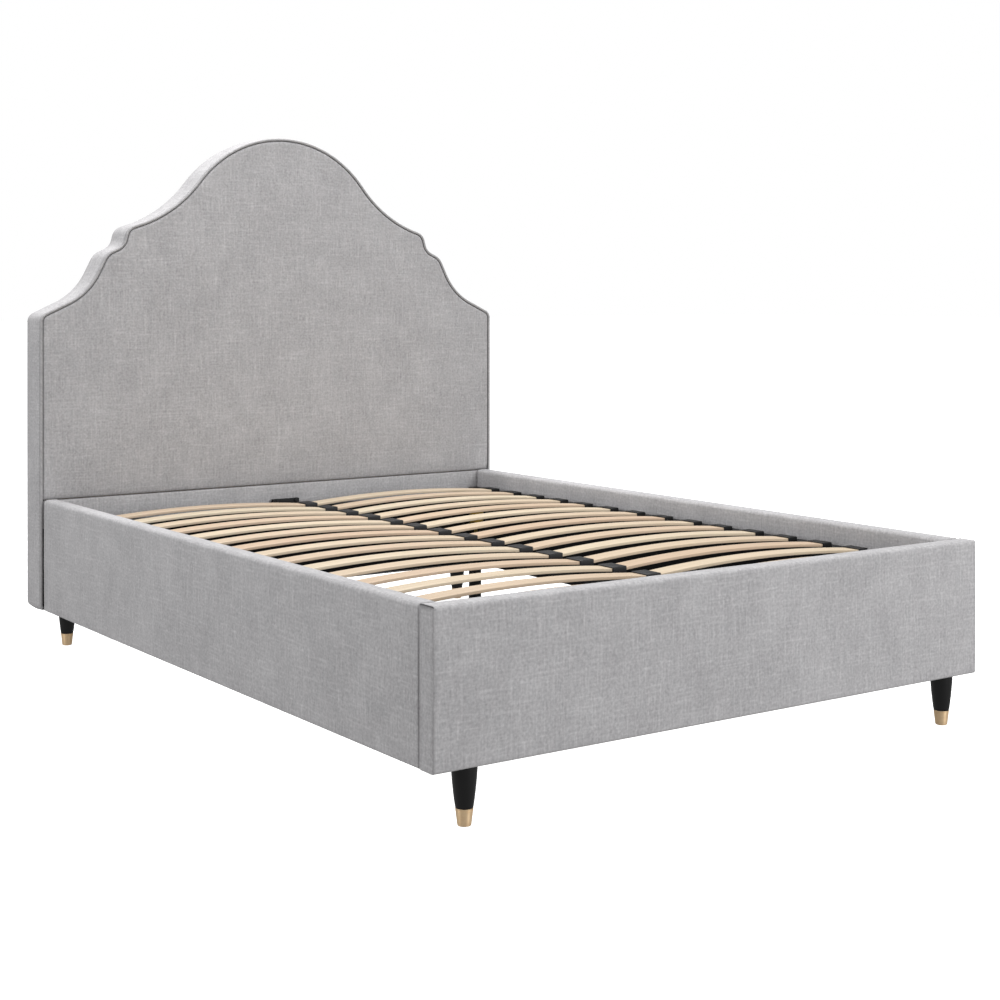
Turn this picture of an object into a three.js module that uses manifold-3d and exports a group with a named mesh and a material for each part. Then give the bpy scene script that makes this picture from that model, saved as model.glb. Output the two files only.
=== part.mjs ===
// A king-size upholstered bed with an arched headboard, low padded side rails and footboard, and a
// steel slat frame that carries two columns of sprung slats. Millimetres, +Z up. X runs across the
// bed, Y from the footboard to the headboard. The origin is on the floor under the middle of the bed.

import * as THREE from 'three';
import { mergeVertices } from 'three/addons/utils/BufferGeometryUtils.js';
import Module from 'manifold-3d';

const wasm = await Module();
wasm.setup();

// ---------------------------------------------------------------------------------------------
// Driving dimensions
// ---------------------------------------------------------------------------------------------

const GAP = 0.3; // clearance between pieces that touch

const BED = { width: 1620, length: 2230, underside: 120, railTop: 451 };
const HEADBOARD = { width: 1640, apex: 1568, depth: 131, bottomCorner: 18, seam: 449, seamGap: 4 };
const FOOTBOARD = { depth: 52, outerPad: 12, innerPad: 8, topPad: 8, endPad: 8, edge: 12 };
const RAIL = { depth: 46, outerPad: 10, innerPad: 8, topPad: 8, endPad: 4, edge: 11 };

// Headboard layers: each one's thickness, and how far it is pulled in from the outline
const PIPING = { diameter: 7 };
const PAD = { thickness: 25, inset: 7.5 };
const LOWER_PANEL = { thickness: 21 };
const BOARD = { thickness: 11.7, inset: 6.5 };
const BACK_PANEL = { thickness: 17.7 };
const BORDER = { thickness: 6, setBack: 7.5, backInset: 2 };
const POST = { width: 70, top: 960 };

const SLAT = { width: 53, thickness: 8, bow: 17, endZ: 391.5, innerX: 3.5, outerX: 716, steps: 10 };
const ROWS = { count: 15, firstY: -933, pitch: 126 };

const TUBE = { width: 36, height: 30, wall: 1.5, top: 392 };
const HEAD_TUBE = { ...TUBE, top: 376 };
const CENTRE_TUBE = { width: 36, height: 36, wall: 1.5, top: 388 };
const HOLDER = { width: 60, bottom: 387.6, top: 404.5, pocketFloor: 390.9, pocketHeight: 11.6 };
const CENTRE_HOLDER = { reachX: 21.5, webX: 3 };
const SIDE_HOLDER = { innerX: 698, outerX: 730, pocketEndX: 718 };
const HANGER = { width: 95, depth: 15, bottom: 375, top: 406, clearance: 1 };
const HANGER_BOLT = { pitch: 68, radius: 5.5, head: 4, z: 399 };

const LEG = { insetX: 94, frontInsetY: 29, rearInsetY: 77, topRadius: 27.2, bulge: 1, steps: 6 };
const FERRULE = { height: 36, topRadius: 18.7, footRadius: 14.2, edge: 2.5 };
const STUD = { radius: 4, reach: 30, holeRadius: 4.5, facets: 16 };
const OVERCUT = 1; // how far a cutting tool runs past the face that it cuts
const SUPPORT = { y: -98, radius: 17, wall: 1.5, footRadius: 22, footHeight: 12, footEdge: 2 };
const BRACKET = { plate: 3, width: 32, reach: 38, bottom: 268, top: 308, stem: 13, stemBottom: 203 };
const ROUND_FACETS = 24;

// Places that follow from the sizes above
const halfWidth = BED.width / 2;
const headHalfWidth = HEADBOARD.width / 2;
const footFaceY = -BED.length / 2;
const footInnerY = footFaceY + FOOTBOARD.depth;
const backY = BED.length / 2;
const headFaceY = backY - HEADBOARD.depth;
const railInnerX = halfWidth - RAIL.depth;
const legX = halfWidth - LEG.insetX;
const frontLegY = footFaceY + LEG.frontInsetY;
const rearLegY = backY - LEG.rearInsetY;
const boardY = headFaceY + PAD.thickness + GAP;
const postY = boardY + BOARD.thickness + GAP;
const backPanelY = backY - BACK_PANEL.thickness;
const sideBarX = railInnerX - GAP - TUBE.width / 2;
const headBarY = [headFaceY - GAP - TUBE.width, headFaceY - GAP];
const footBarY = [footInnerY + GAP, footInnerY + GAP + TUBE.width];

// The right half of the headboard's outline, from the apex down to the side: tangent arcs and
// straights. A slope is in degrees below horizontal, and a negative radius is a hollow curve.
const CROWN = [
  { radius: 382, toSlope: 52 }, // the arch
  { radius: -420, toSlope: 18 }, // the sweep out of the arch
  { straight: 18 },
  { radius: 42, toSlope: 75 }, // the upper step
  { straight: 14 },
  { radius: -42, toSlope: 25 }, // the notch between the steps
  { straight: 20 },
  { radius: 58, toSlope: 63 }, // the lower step
  { straight: 45 },
  { radius: -200, toSlope: 25 }, // the sweep to the shoulder
  { straight: 77.159 },
  { radius: 30, toSlope: 90 }, // the shoulder corner
];
const ARC_STEP = 7; // degrees turned by one facet of the outline

// ---------------------------------------------------------------------------------------------
// Finishes
// ---------------------------------------------------------------------------------------------

const finish = (color, roughness, metalness = 0) => () =>
  new THREE.MeshStandardMaterial({ color, roughness, metalness });

const linen = finish(0xb9b8b8, 0.95);
const pipingCloth = finish(0x8f8f90, 0.95);
const pine = finish(0xd8bd91, 0.8);
const plywood = finish(0xcfae7c, 0.8);
const beech = finish(0xe6cfae, 0.55);
const blackSteel = finish(0x1b1c1e, 0.5, 0.4);
const blackWood = finish(0x1c1c1d, 0.4);
const brass = finish(0xc8a273, 0.3, 1);
const zinc = finish(0xb99a3a, 0.4, 0.9);

// ---------------------------------------------------------------------------------------------
// Geometry helpers
// ---------------------------------------------------------------------------------------------

/** A box between two corners. */
function box([x0, y0, z0], [x1, y1, z1]) {
  const geometry = new THREE.BoxGeometry(x1 - x0, y1 - y0, z1 - z0);
  return geometry.translate((x0 + x1) / 2, (y0 + y1) / 2, (z0 + z1) / 2);
}

/** Turns a closed geometry into a solid that can be cut and joined. */
function solid(geometry) {
  const bare = geometry.clone();
  bare.deleteAttribute('normal');
  bare.deleteAttribute('uv');
  const merged = mergeVertices(bare, 1e-4);
  const vertProperties = new Float32Array(merged.attributes.position.array);
  const triVerts = new Uint32Array(merged.index.array);
  return new wasm.Manifold(new wasm.Mesh({ numProp: 3, vertProperties, triVerts }));
}

/** Turns a solid back into a geometry. */
function meshOf(body) {
  const { vertProperties, triVerts } = body.getMesh();
  const geometry = new THREE.BufferGeometry();
  geometry.setAttribute('position', new THREE.BufferAttribute(vertProperties, 3));
  geometry.setIndex(new THREE.BufferAttribute(triVerts, 1));
  return geometry;
}

/** Cuts every tool out of a geometry. */
function cut(geometry, tools) {
  return meshOf(tools.reduce((body, tool) => body.subtract(solid(tool)), solid(geometry)));
}

/** Joins overlapping geometries into one. */
function join(geometries) {
  const [first, ...others] = geometries;
  return meshOf(others.reduce((body, part) => body.add(solid(part)), solid(first)));
}

/** Extrudes an outline drawn in X and Z from one Y to another. */
function slab(outline, fromY, toY) {
  const geometry = new THREE.ExtrudeGeometry(outline, { depth: toY - fromY, bevelEnabled: false });
  return geometry.rotateX(Math.PI / 2).translate(0, toY, 0);
}

/** An upright cylinder, for studs and their holes. */
function uprightRod(radius, x, y, fromZ, toZ) {
  const geometry = new THREE.CylinderGeometry(radius, radius, toZ - fromZ, STUD.facets);
  return geometry.rotateX(Math.PI / 2).translate(x, y, (fromZ + toZ) / 2);
}

/** A rectangular tube along Y, open at both ends, with its top face at the given height. */
function tubeAlongY({ width, height, wall, top }, fromY, toY) {
  const outside = box([-width / 2, fromY, top - height], [width / 2, toY, top]);
  const innerHalf = width / 2 - wall;
  const low = [-innerHalf, fromY - OVERCUT, top - height + wall];
  const inside = box(low, [innerHalf, toY + OVERCUT, top - wall]);
  return cut(outside, [inside]);
}

/** The right half of the headboard's outline, pulled in by `inset`, from the apex to the shoulder. */
function crownHalf(inset) {
  const point = new THREE.Vector2(0, HEADBOARD.apex - inset);
  const points = [point.clone()];
  let slope = 0;
  const advance = (dx, dz) => points.push(point.set(point.x + dx, point.y - dz).clone());
  for (const { straight, radius, toSlope } of CROWN) {
    if (straight) {
      advance(straight * Math.cos(slope), straight * Math.sin(slope));
      continue;
    }
    const start = slope;
    const turn = THREE.MathUtils.degToRad(toSlope) - start;
    const steps = Math.ceil(Math.abs(turn) / THREE.MathUtils.degToRad(ARC_STEP));
    for (let i = 1; i <= steps; i++) {
      const next = start + (turn * i) / steps;
      const run = Math.sin(next) - Math.sin(slope);
      const drop = Math.cos(slope) - Math.cos(next);
      advance((radius - inset) * run, (radius - inset) * drop);
      slope = next;
    }
  }
  return points;
}

/** The headboard's whole closed outline, with round bottom corners. */
function crownOutline(inset) {
  const corner = HEADBOARD.bottomCorner - inset;
  const bottom = BED.underside + inset;
  const side = headHalfWidth - inset;
  const right = crownHalf(inset);
  for (const angle of [0, 30, 60, 90].map(THREE.MathUtils.degToRad)) {
    const x = side - corner * (1 - Math.cos(angle));
    right.push(new THREE.Vector2(x, bottom + corner * (1 - Math.sin(angle))));
  }
  const left = right.slice(1).map(({ x, y }) => new THREE.Vector2(-x, y));
  return [...left, ...right.reverse()];
}

/** The section of a padded rail: flat sides and bottom, and round top edges. */
function railSection(depth, height, edge) {
  const half = depth / 2;
  const outline = new THREE.Shape();
  outline.moveTo(-half, 0);
  outline.lineTo(half, 0);
  outline.lineTo(half, height - edge);
  outline.absarc(half - edge, height - edge, edge, 0, Math.PI / 2, false);
  outline.absarc(edge - half, height - edge, edge, Math.PI / 2, Math.PI, false);
  return outline;
}

// ---------------------------------------------------------------------------------------------
// Assembly
// ---------------------------------------------------------------------------------------------

const group = new THREE.Group();
const SIDES = [{ side: 'left', sign: -1 }, { side: 'right', sign: 1 }];

/** Adds one named sub-part to a group. */
function add(parent, name, geometry, material, position = [0, 0, 0]) {
  const mesh = new THREE.Mesh(geometry, material());
  mesh.name = name;
  mesh.position.set(...position);
  parent.add(mesh);
}

/** Clearance holes for the two leg studs in a row at one Y. */
function studHoles(y) {
  const top = BED.underside + STUD.reach + 2 * OVERCUT;
  const bottom = BED.underside - OVERCUT;
  return SIDES.map(({ sign }) => uprightRod(STUD.holeRadius, sign * legX, y, bottom, top));
}

/** The cord that edges the headboard's front, from low on one side over the crown to the other. */
function pipingGeometry() {
  const outline = new THREE.Shape(crownOutline(0));
  outline.holes.push(new THREE.Path(crownOutline(PIPING.diameter)));
  const loop = slab(outline, headFaceY, headFaceY + PIPING.diameter);
  const start = BED.underside + HEADBOARD.bottomCorner;
  const reachX = headHalfWidth + OVERCUT;
  const backOfCord = headFaceY + PIPING.diameter + OVERCUT;
  const below = box([-reachX, headFaceY - OVERCUT, 0], [reachX, backOfCord, start]);
  return cut(loop, [below]);
}

/** The headboard: posts between a shaped front board and back panel, then foam, cloth and piping. */
function headboard() {
  const assembly = new THREE.Group();
  const holes = studHoles(rearLegY);
  const board = new THREE.Shape(crownOutline(BOARD.inset));
  add(assembly, 'headboard_front_board', slab(board, boardY, boardY + BOARD.thickness), plywood);
  add(assembly, 'headboard_back_panel', slab(board, backPanelY, backY), linen);

  const ring = new THREE.Shape(crownOutline(0));
  ring.holes.push(new THREE.Path(crownOutline(BORDER.thickness)));
  const band = slab(ring, headFaceY + BORDER.setBack, backY - BORDER.backInset);
  add(assembly, 'headboard_border', cut(band, holes), linen);

  // The front foam ends at the seam, and a thinner lower panel carries on below it
  const padShape = new THREE.Shape(crownOutline(PAD.inset));
  const padBackY = boardY - GAP;
  const half = HEADBOARD.seamGap / 2;
  const near = headFaceY - OVERCUT;
  const far = padBackY + OVERCUT;
  const { seam, apex } = HEADBOARD;
  const belowSeam = box([-headHalfWidth, near, 0], [headHalfWidth, far, seam + half]);
  const aboveSeam = box([-headHalfWidth, near, seam - half], [headHalfWidth, far, apex]);
  const lowerFaceY = padBackY - LOWER_PANEL.thickness;
  add(assembly, 'headboard_pad', cut(slab(padShape, headFaceY, padBackY), [belowSeam]), linen);
  add(assembly, 'headboard_lower_panel', cut(slab(padShape, lowerFaceY, padBackY), [aboveSeam]), linen);
  add(assembly, 'headboard_piping', pipingGeometry(), pipingCloth);

  const postBottom = BED.underside + BOARD.inset;
  for (const { side, sign } of SIDES) {
    const post = box([-POST.width / 2, postY, postBottom], [POST.width / 2, backPanelY - GAP, POST.top]);
    add(assembly, `headboard_post_${side}`, cut(post.translate(sign * legX, 0, 0), holes), pine);
  }
  return assembly;
}

/** A padded cover, open underneath, that takes the board inside it. It runs along Y. */
function paddedCover({ depth, outerPad, innerPad, topPad, edge }, length, endPad) {
  const height = BED.railTop - BED.underside;
  const shell = slab(railSection(depth, height, edge), 0, length);
  const low = [outerPad - depth / 2, endPad, -OVERCUT];
  const pocket = box(low, [depth / 2 - innerPad, length - endPad, height - topPad]);
  return cut(shell, [pocket]);
}

/** The board inside a padded cover, set up a little from the cover's open bottom. */
function coverBoard({ depth, outerPad, innerPad, topPad }, length, endPad) {
  const height = BED.railTop - BED.underside;
  const setUp = 1;
  const low = [outerPad - depth / 2 + GAP, endPad + GAP, setUp];
  return box(low, [depth / 2 - innerPad - GAP, length - endPad - GAP, height - topPad - GAP]);
}

/** The two side rails, between the footboard and the headboard. */
function sideRails() {
  const assembly = new THREE.Group();
  const length = headFaceY - footInnerY - 2 * GAP;
  for (const { side, sign } of SIDES) {
    const rail = new THREE.Group();
    const startY = sign > 0 ? headFaceY - GAP : footInnerY + GAP;
    rail.position.set(sign * (halfWidth - RAIL.depth / 2), startY, BED.underside);
    rail.rotation.z = sign > 0 ? Math.PI : 0;
    add(rail, `side_rail_cover_${side}`, paddedCover(RAIL, length, RAIL.endPad), linen);
    add(rail, `side_rail_board_${side}`, coverBoard(RAIL, length, RAIL.endPad), plywood);
    assembly.add(rail);
  }
  return assembly;
}

/** The footboard, across the foot end, with the front legs' stud holes in its board. */
function footboard() {
  const assembly = new THREE.Group();
  const place = (geometry) => geometry.rotateZ(Math.PI / 2)
    .translate(halfWidth, footFaceY + FOOTBOARD.depth / 2, BED.underside);
  const cover = place(paddedCover(FOOTBOARD, BED.width, FOOTBOARD.endPad));
  const board = place(coverBoard(FOOTBOARD, BED.width, FOOTBOARD.endPad));
  add(assembly, 'footboard_cover', cover, linen);
  add(assembly, 'footboard_board', cut(board, studHoles(frontLegY)), plywood);
  return assembly;
}

/** Y of the middle of every row of slats. */
const rowYs = Array.from({ length: ROWS.count }, (_, row) => ROWS.firstY + row * ROWS.pitch);

/** A bowed slat across one side, from its inner end to its outer end, on the +X side. */
function slatGeometry() {
  const half = (SLAT.outerX - SLAT.innerX) / 2;
  const middle = (SLAT.outerX + SLAT.innerX) / 2;
  const under = Array.from({ length: SLAT.steps + 1 }, (_, i) => {
    const along = (2 * i) / SLAT.steps - 1;
    return new THREE.Vector2(middle + along * half, SLAT.endZ + SLAT.bow * (1 - along * along));
  });
  const over = under.map(({ x, y }) => new THREE.Vector2(x, y + SLAT.thickness)).reverse();
  return slab(new THREE.Shape([...under, ...over]), -SLAT.width / 2, SLAT.width / 2);
}

/** All the slats, numbered from the foot end. */
function slats() {
  const assembly = new THREE.Group();
  rowYs.forEach((y, row) => {
    for (const { side, sign } of SIDES) {
      const name = `slat_${side}_${String(row + 1).padStart(2, '0')}`;
      const geometry = slatGeometry();
      if (sign < 0) geometry.rotateZ(Math.PI);
      add(assembly, name, geometry, beech, [0, y, 0]);
    }
  });
  return assembly;
}

/** The box between two X values on one side of the bed, over a stretch of Y and of Z. */
function sideBox(sign, [xA, xB], [y0, y1], [z0, z1]) {
  return box([Math.min(sign * xA, sign * xB), y0, z0], [Math.max(sign * xA, sign * xB), y1, z1]);
}

/** A tube with a moulded holder on it for every row. Each span is a side's sign and a range of X. */
function holderBar(tube, holderSpans, pocketSpans) {
  const zPocket = [HOLDER.pocketFloor, HOLDER.pocketFloor + HOLDER.pocketHeight];
  const around = (y, half) => [y - half, y + half];
  const holders = rowYs.flatMap((y) => holderSpans.map(({ sign, x }) =>
    sideBox(sign, x, around(y, HOLDER.width / 2), [HOLDER.bottom, HOLDER.top])));
  const pockets = rowYs.flatMap((y) => pocketSpans.map(({ sign, x }) =>
    sideBox(sign, x, around(y, SLAT.width / 2 + GAP), zPocket)));
  return cut(join([tube, ...holders]), pockets);
}

/** The long tubes under the slats' outer ends, with the outer holders on them. */
function sideBars(assembly) {
  const fromY = footInnerY + GAP;
  const toY = headFaceY - GAP;
  for (const { side, sign } of SIDES) {
    const tube = tubeAlongY(TUBE, fromY, toY).translate(sign * sideBarX, 0, 0);
    const holder = { sign, x: [SIDE_HOLDER.innerX, SIDE_HOLDER.outerX] };
    const pocket = { sign, x: [SIDE_HOLDER.innerX - OVERCUT, SIDE_HOLDER.pocketEndX] };
    add(assembly, `slat_bar_${side}`, holderBar(tube, [holder], [pocket]), blackSteel);
  }
}

/** The tube under the slats' inner ends, with a double holder for each row. */
function centreBar(assembly) {
  const tube = tubeAlongY(CENTRE_TUBE, footBarY[1] + GAP, headBarY[0] - GAP);
  const holder = { sign: 1, x: [-CENTRE_HOLDER.reachX, CENTRE_HOLDER.reachX] };
  const pockets = SIDES.map(({ sign }) =>
    ({ sign, x: [CENTRE_HOLDER.webX / 2, CENTRE_HOLDER.reachX + OVERCUT] }));
  add(assembly, 'slat_bar_centre', holderBar(tube, [holder], pockets), blackSteel);
}

/** The tubes across the head and the foot, the first with the hanger bolted to the headboard. */
function crossBars(assembly) {
  const length = 2 * (sideBarX - TUBE.width / 2 - GAP);
  const across = (tube, y) =>
    tubeAlongY(tube, -length / 2, length / 2).rotateZ(Math.PI / 2).translate(0, y, 0);
  const headMiddleY = (headBarY[0] + headBarY[1]) / 2;
  const footMiddleY = (footBarY[0] + footBarY[1]) / 2;
  const hangerY = [headBarY[1] - HANGER.depth - HANGER.clearance, headBarY[1] - HANGER.clearance];
  const halfHanger = HANGER.width / 2;
  const hanger = sideBox(1, [-halfHanger, halfHanger], hangerY, [HANGER.bottom, HANGER.top]);
  const bolts = SIDES.map(({ sign }) => {
    const { pitch, radius, head, z } = HANGER_BOLT;
    const bolt = new THREE.CylinderGeometry(radius, radius, HANGER.depth, ROUND_FACETS);
    return bolt.translate(sign * pitch / 2, hangerY[0] + HANGER.depth / 2 - head, z);
  });
  add(assembly, 'slat_frame_head_bar', join([across(HEAD_TUBE, headMiddleY), hanger, ...bolts]), blackSteel);
  add(assembly, 'slat_frame_foot_bar', across(TUBE, footMiddleY), blackSteel);
}

/** The round leg that holds up the middle of the centre tube, with its floor glide. */
function supportLeg(assembly) {
  const { radius, wall, footRadius, footHeight, footEdge } = SUPPORT;
  const top = CENTRE_TUBE.top - CENTRE_TUBE.height - GAP;
  const profile = [
    [0, 0], [footRadius - footEdge, 0], [footRadius, footEdge],
    [footRadius, footHeight - footEdge], [footRadius - footEdge, footHeight], [radius, footHeight],
    [radius, top], [radius - wall, top], [radius - wall, footHeight], [0, footHeight],
  ].map(([r, z]) => new THREE.Vector2(r, z));
  const leg = new THREE.LatheGeometry(profile, ROUND_FACETS).rotateX(Math.PI / 2);
  add(assembly, 'support_leg', leg, blackSteel, [0, SUPPORT.y, 0]);
}

/** The steel slat frame: side, centre, head and foot tubes, and the leg under the middle. */
function slatFrame() {
  const assembly = new THREE.Group();
  sideBars(assembly);
  centreBar(assembly);
  crossBars(assembly);
  supportLeg(assembly);
  return assembly;
}

/** The plated angle brackets that join the side rails to the headboard. */
function cornerBrackets() {
  const assembly = new THREE.Group();
  const { plate, width, reach, bottom, top, stem, stemBottom } = BRACKET;
  const faceY = headFaceY - GAP;
  const faceX = railInnerX - GAP;
  for (const { side, sign } of SIDES) {
    const onHead = sideBox(sign, [faceX - width, faceX], [faceY - plate, faceY], [bottom, top]);
    const onRail = sideBox(sign, [faceX - plate, faceX], [faceY - reach, faceY], [bottom, top]);
    const stemX = [faceX - stem, faceX];
    const tongue = sideBox(sign, stemX, [faceY - plate, faceY], [stemBottom, bottom + OVERCUT]);
    add(assembly, `corner_bracket_${side}`, join([onHead, onRail, tongue]), zinc);
  }
  return assembly;
}

/** Radius of a leg's black part at a height, from the ferrule's top to the bed's underside. */
function legRadius(share) {
  const straight = FERRULE.topRadius + (LEG.topRadius - FERRULE.topRadius) * share;
  return straight + 4 * LEG.bulge * share * (1 - share);
}

/** The four tapered legs, each a turned black post with a stud on top and a brass ferrule below. */
function legs() {
  const assembly = new THREE.Group();
  const bottom = FERRULE.height + GAP;
  const top = BED.underside - GAP;
  const post = [new THREE.Vector2(0, bottom)];
  for (let i = 0; i <= LEG.steps; i++) {
    const share = i / LEG.steps;
    post.push(new THREE.Vector2(legRadius(share), bottom + (top - bottom) * share));
  }
  post.push(...[[STUD.radius, top], [STUD.radius, top + STUD.reach], [0, top + STUD.reach]]
    .map(([r, z]) => new THREE.Vector2(r, z)));
  const { footRadius, topRadius, edge, height } = FERRULE;
  const cup = [[0, 0], [footRadius - edge, 0], [footRadius, edge], [topRadius, height], [0, height]]
    .map(([r, z]) => new THREE.Vector2(r, z));
  const turned = (profile) => new THREE.LatheGeometry(profile, ROUND_FACETS).rotateX(Math.PI / 2);
  for (const [end, y] of [['front', frontLegY], ['rear', rearLegY]]) {
    for (const { side, sign } of SIDES) {
      add(assembly, `leg_${end}_${side}`, turned(post), blackWood, [sign * legX, y, 0]);
      add(assembly, `leg_ferrule_${end}_${side}`, turned(cup), brass, [sign * legX, y, 0]);
    }
  }
  return assembly;
}

group.add(headboard(), sideRails(), footboard(), slats(), slatFrame(), cornerBrackets(), legs());
export default group;
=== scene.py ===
"""A king-size upholstered bed without its mattress.

A padded headboard with an arched, stepped outline, padded side rails and footboard, a steel slat
frame with two rows of bent slats, and four turned black feet with brass cups. Everything is in
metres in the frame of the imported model: X across the bed, Y from the foot to the head, Z up from
the floor.
"""

from __future__ import annotations

import logging
import math
from dataclasses import dataclass, field, replace
from enum import Enum
from typing import Sequence

import bmesh
import bpy
import numpy as np
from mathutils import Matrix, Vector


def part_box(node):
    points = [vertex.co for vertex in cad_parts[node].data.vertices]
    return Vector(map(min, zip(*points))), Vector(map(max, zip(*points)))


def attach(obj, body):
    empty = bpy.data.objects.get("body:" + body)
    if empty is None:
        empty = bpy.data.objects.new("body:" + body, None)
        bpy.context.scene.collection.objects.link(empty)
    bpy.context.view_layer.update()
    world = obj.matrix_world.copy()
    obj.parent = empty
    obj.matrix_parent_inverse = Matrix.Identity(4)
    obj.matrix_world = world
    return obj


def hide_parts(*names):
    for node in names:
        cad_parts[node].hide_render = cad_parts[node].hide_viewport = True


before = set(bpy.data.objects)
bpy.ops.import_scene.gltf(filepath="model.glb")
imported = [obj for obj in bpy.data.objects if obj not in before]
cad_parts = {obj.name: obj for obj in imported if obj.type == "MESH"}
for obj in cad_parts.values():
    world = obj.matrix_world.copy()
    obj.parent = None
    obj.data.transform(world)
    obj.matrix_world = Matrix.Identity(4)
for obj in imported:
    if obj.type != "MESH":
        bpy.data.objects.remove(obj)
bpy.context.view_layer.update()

LOG = logging.getLogger("bed")
BODY = "root"
MM = 0.001
Array = np.ndarray
Tree = bpy.types.NodeTree
Node = bpy.types.Node
Socket = bpy.types.NodeSocket
Material = bpy.types.Material
Mesh = bpy.types.Mesh
Piece = bpy.types.Object
UP = np.array([0.0, 0.0, 1.0])


class Side(Enum):
    """A side of the bed, as the sign of its X."""

    LEFT = -1
    RIGHT = 1

    @property
    def label(self) -> str:
        """The side's word in a piece's name."""
        return self.name.lower()


class End(Enum):
    """An end of the bed, as it is named on the legs."""

    FOOT = "front"
    HEAD = "rear"


class Slot(Enum):
    """The record's material slots."""

    LINEN = "linen"
    PIPING = "piping"
    PINE = "pine"
    PLYWOOD = "plywood"
    BEECH = "beech"
    BLACK_STEEL = "black_steel"
    BLACK_WOOD = "black_wood"
    BRASS = "brass"
    ZINC = "zinc"
    HOLDER = "holder_plastic"
    DUST_CLOTH = "dust_cloth"


@dataclass(frozen=True)
class Box:
    """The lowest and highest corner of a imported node."""

    low: Array
    high: Array

    @staticmethod
    def of(node: str) -> "Box":
        """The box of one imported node."""
        low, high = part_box(node)
        return Box(np.array(low), np.array(high))

    @property
    def middle(self) -> Array:
        """The middle of the box."""
        return (self.low + self.high) / 2


# ----------------------------------------------------------------------------------------------
# Loops and meshes
# ----------------------------------------------------------------------------------------------


def rounded_loop(
    half_a: float, half_b: float, radii: Sequence[float], corner_steps: int, side_steps: tuple[int, int]
) -> Array:
    """A rectangle with round corners, as one closed loop about its middle.

    Each corner is a quarter circle, centre plus radius times (cosine, sine), and the straight sides
    are divided evenly. A loop of smaller size and radius with the same steps has the same count of
    points, so that loops can be joined into a surface.

    Args:
        half_a: Half of the size along the first axis.
        half_b: Half of the size along the second axis.
        radii: Radii of the corners (+a +b), (-a +b), (-a -b), (+a -b).
        corner_steps: Steps round each corner.
        side_steps: Steps along the sides that run along the first and the second axis.

    Returns:
        Points in two columns, anticlockwise.
    """
    signs = np.array([(1, 1), (-1, 1), (-1, -1), (1, -1)])
    quarter = np.linspace(0, math.pi / 2, corner_steps + 1)
    corners = []
    for index, (sign, radius) in enumerate(zip(signs, radii)):
        limited = max(min(radius, half_a, half_b), 0.0)
        angle = quarter + index * math.pi / 2
        centre = sign * (np.array([half_a, half_b]) - limited)
        corners.append(centre + limited * np.stack([np.cos(angle), np.sin(angle)], axis=1))
    parts = []
    for index, corner in enumerate(corners):
        following = corners[(index + 1) % 4]
        share = np.linspace(0, 1, side_steps[index % 2] + 1)[1:-1, None]
        parts += [corner, corner[-1] * (1 - share) + following[0] * share]
    return np.concatenate(parts)


def stand_across(loop: Array, x: float, y: float, z: float) -> Array:
    """Stands a flat loop up across X about one place."""
    return np.stack([np.full(len(loop), x), y + loop[:, 0], z + loop[:, 1]], axis=1)


def circle_loop(radius: float, steps: int = 64) -> Array:
    """A circle about the origin as a closed loop of points in two columns."""
    angle = np.arange(steps) * 2 * math.pi / steps
    return radius * np.stack([np.cos(angle), np.sin(angle)], axis=1)


def waviness(first: Array, second: Array, size: float, wavelength: float) -> Array:
    """The slack of stretched cloth: three crossed sine waves whose lengths share no common factor.

    Args:
        first: Place along one direction of the surface.
        second: Place along the other direction.
        size: The greatest rise.
        wavelength: The longest wave.

    Returns:
        The rise at each place.
    """
    turn = 2 * math.pi / wavelength
    waves = np.sin(turn * (first + 0.37 * second) + 0.4)
    waves = waves + 0.6 * np.sin(turn * 1.63 * (second - 0.21 * first) + 1.9)
    waves = waves + 0.4 * np.sin(turn * 2.71 * (first * 0.7 - second * 0.71) + 3.1)
    return size * waves / 2.0


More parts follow.
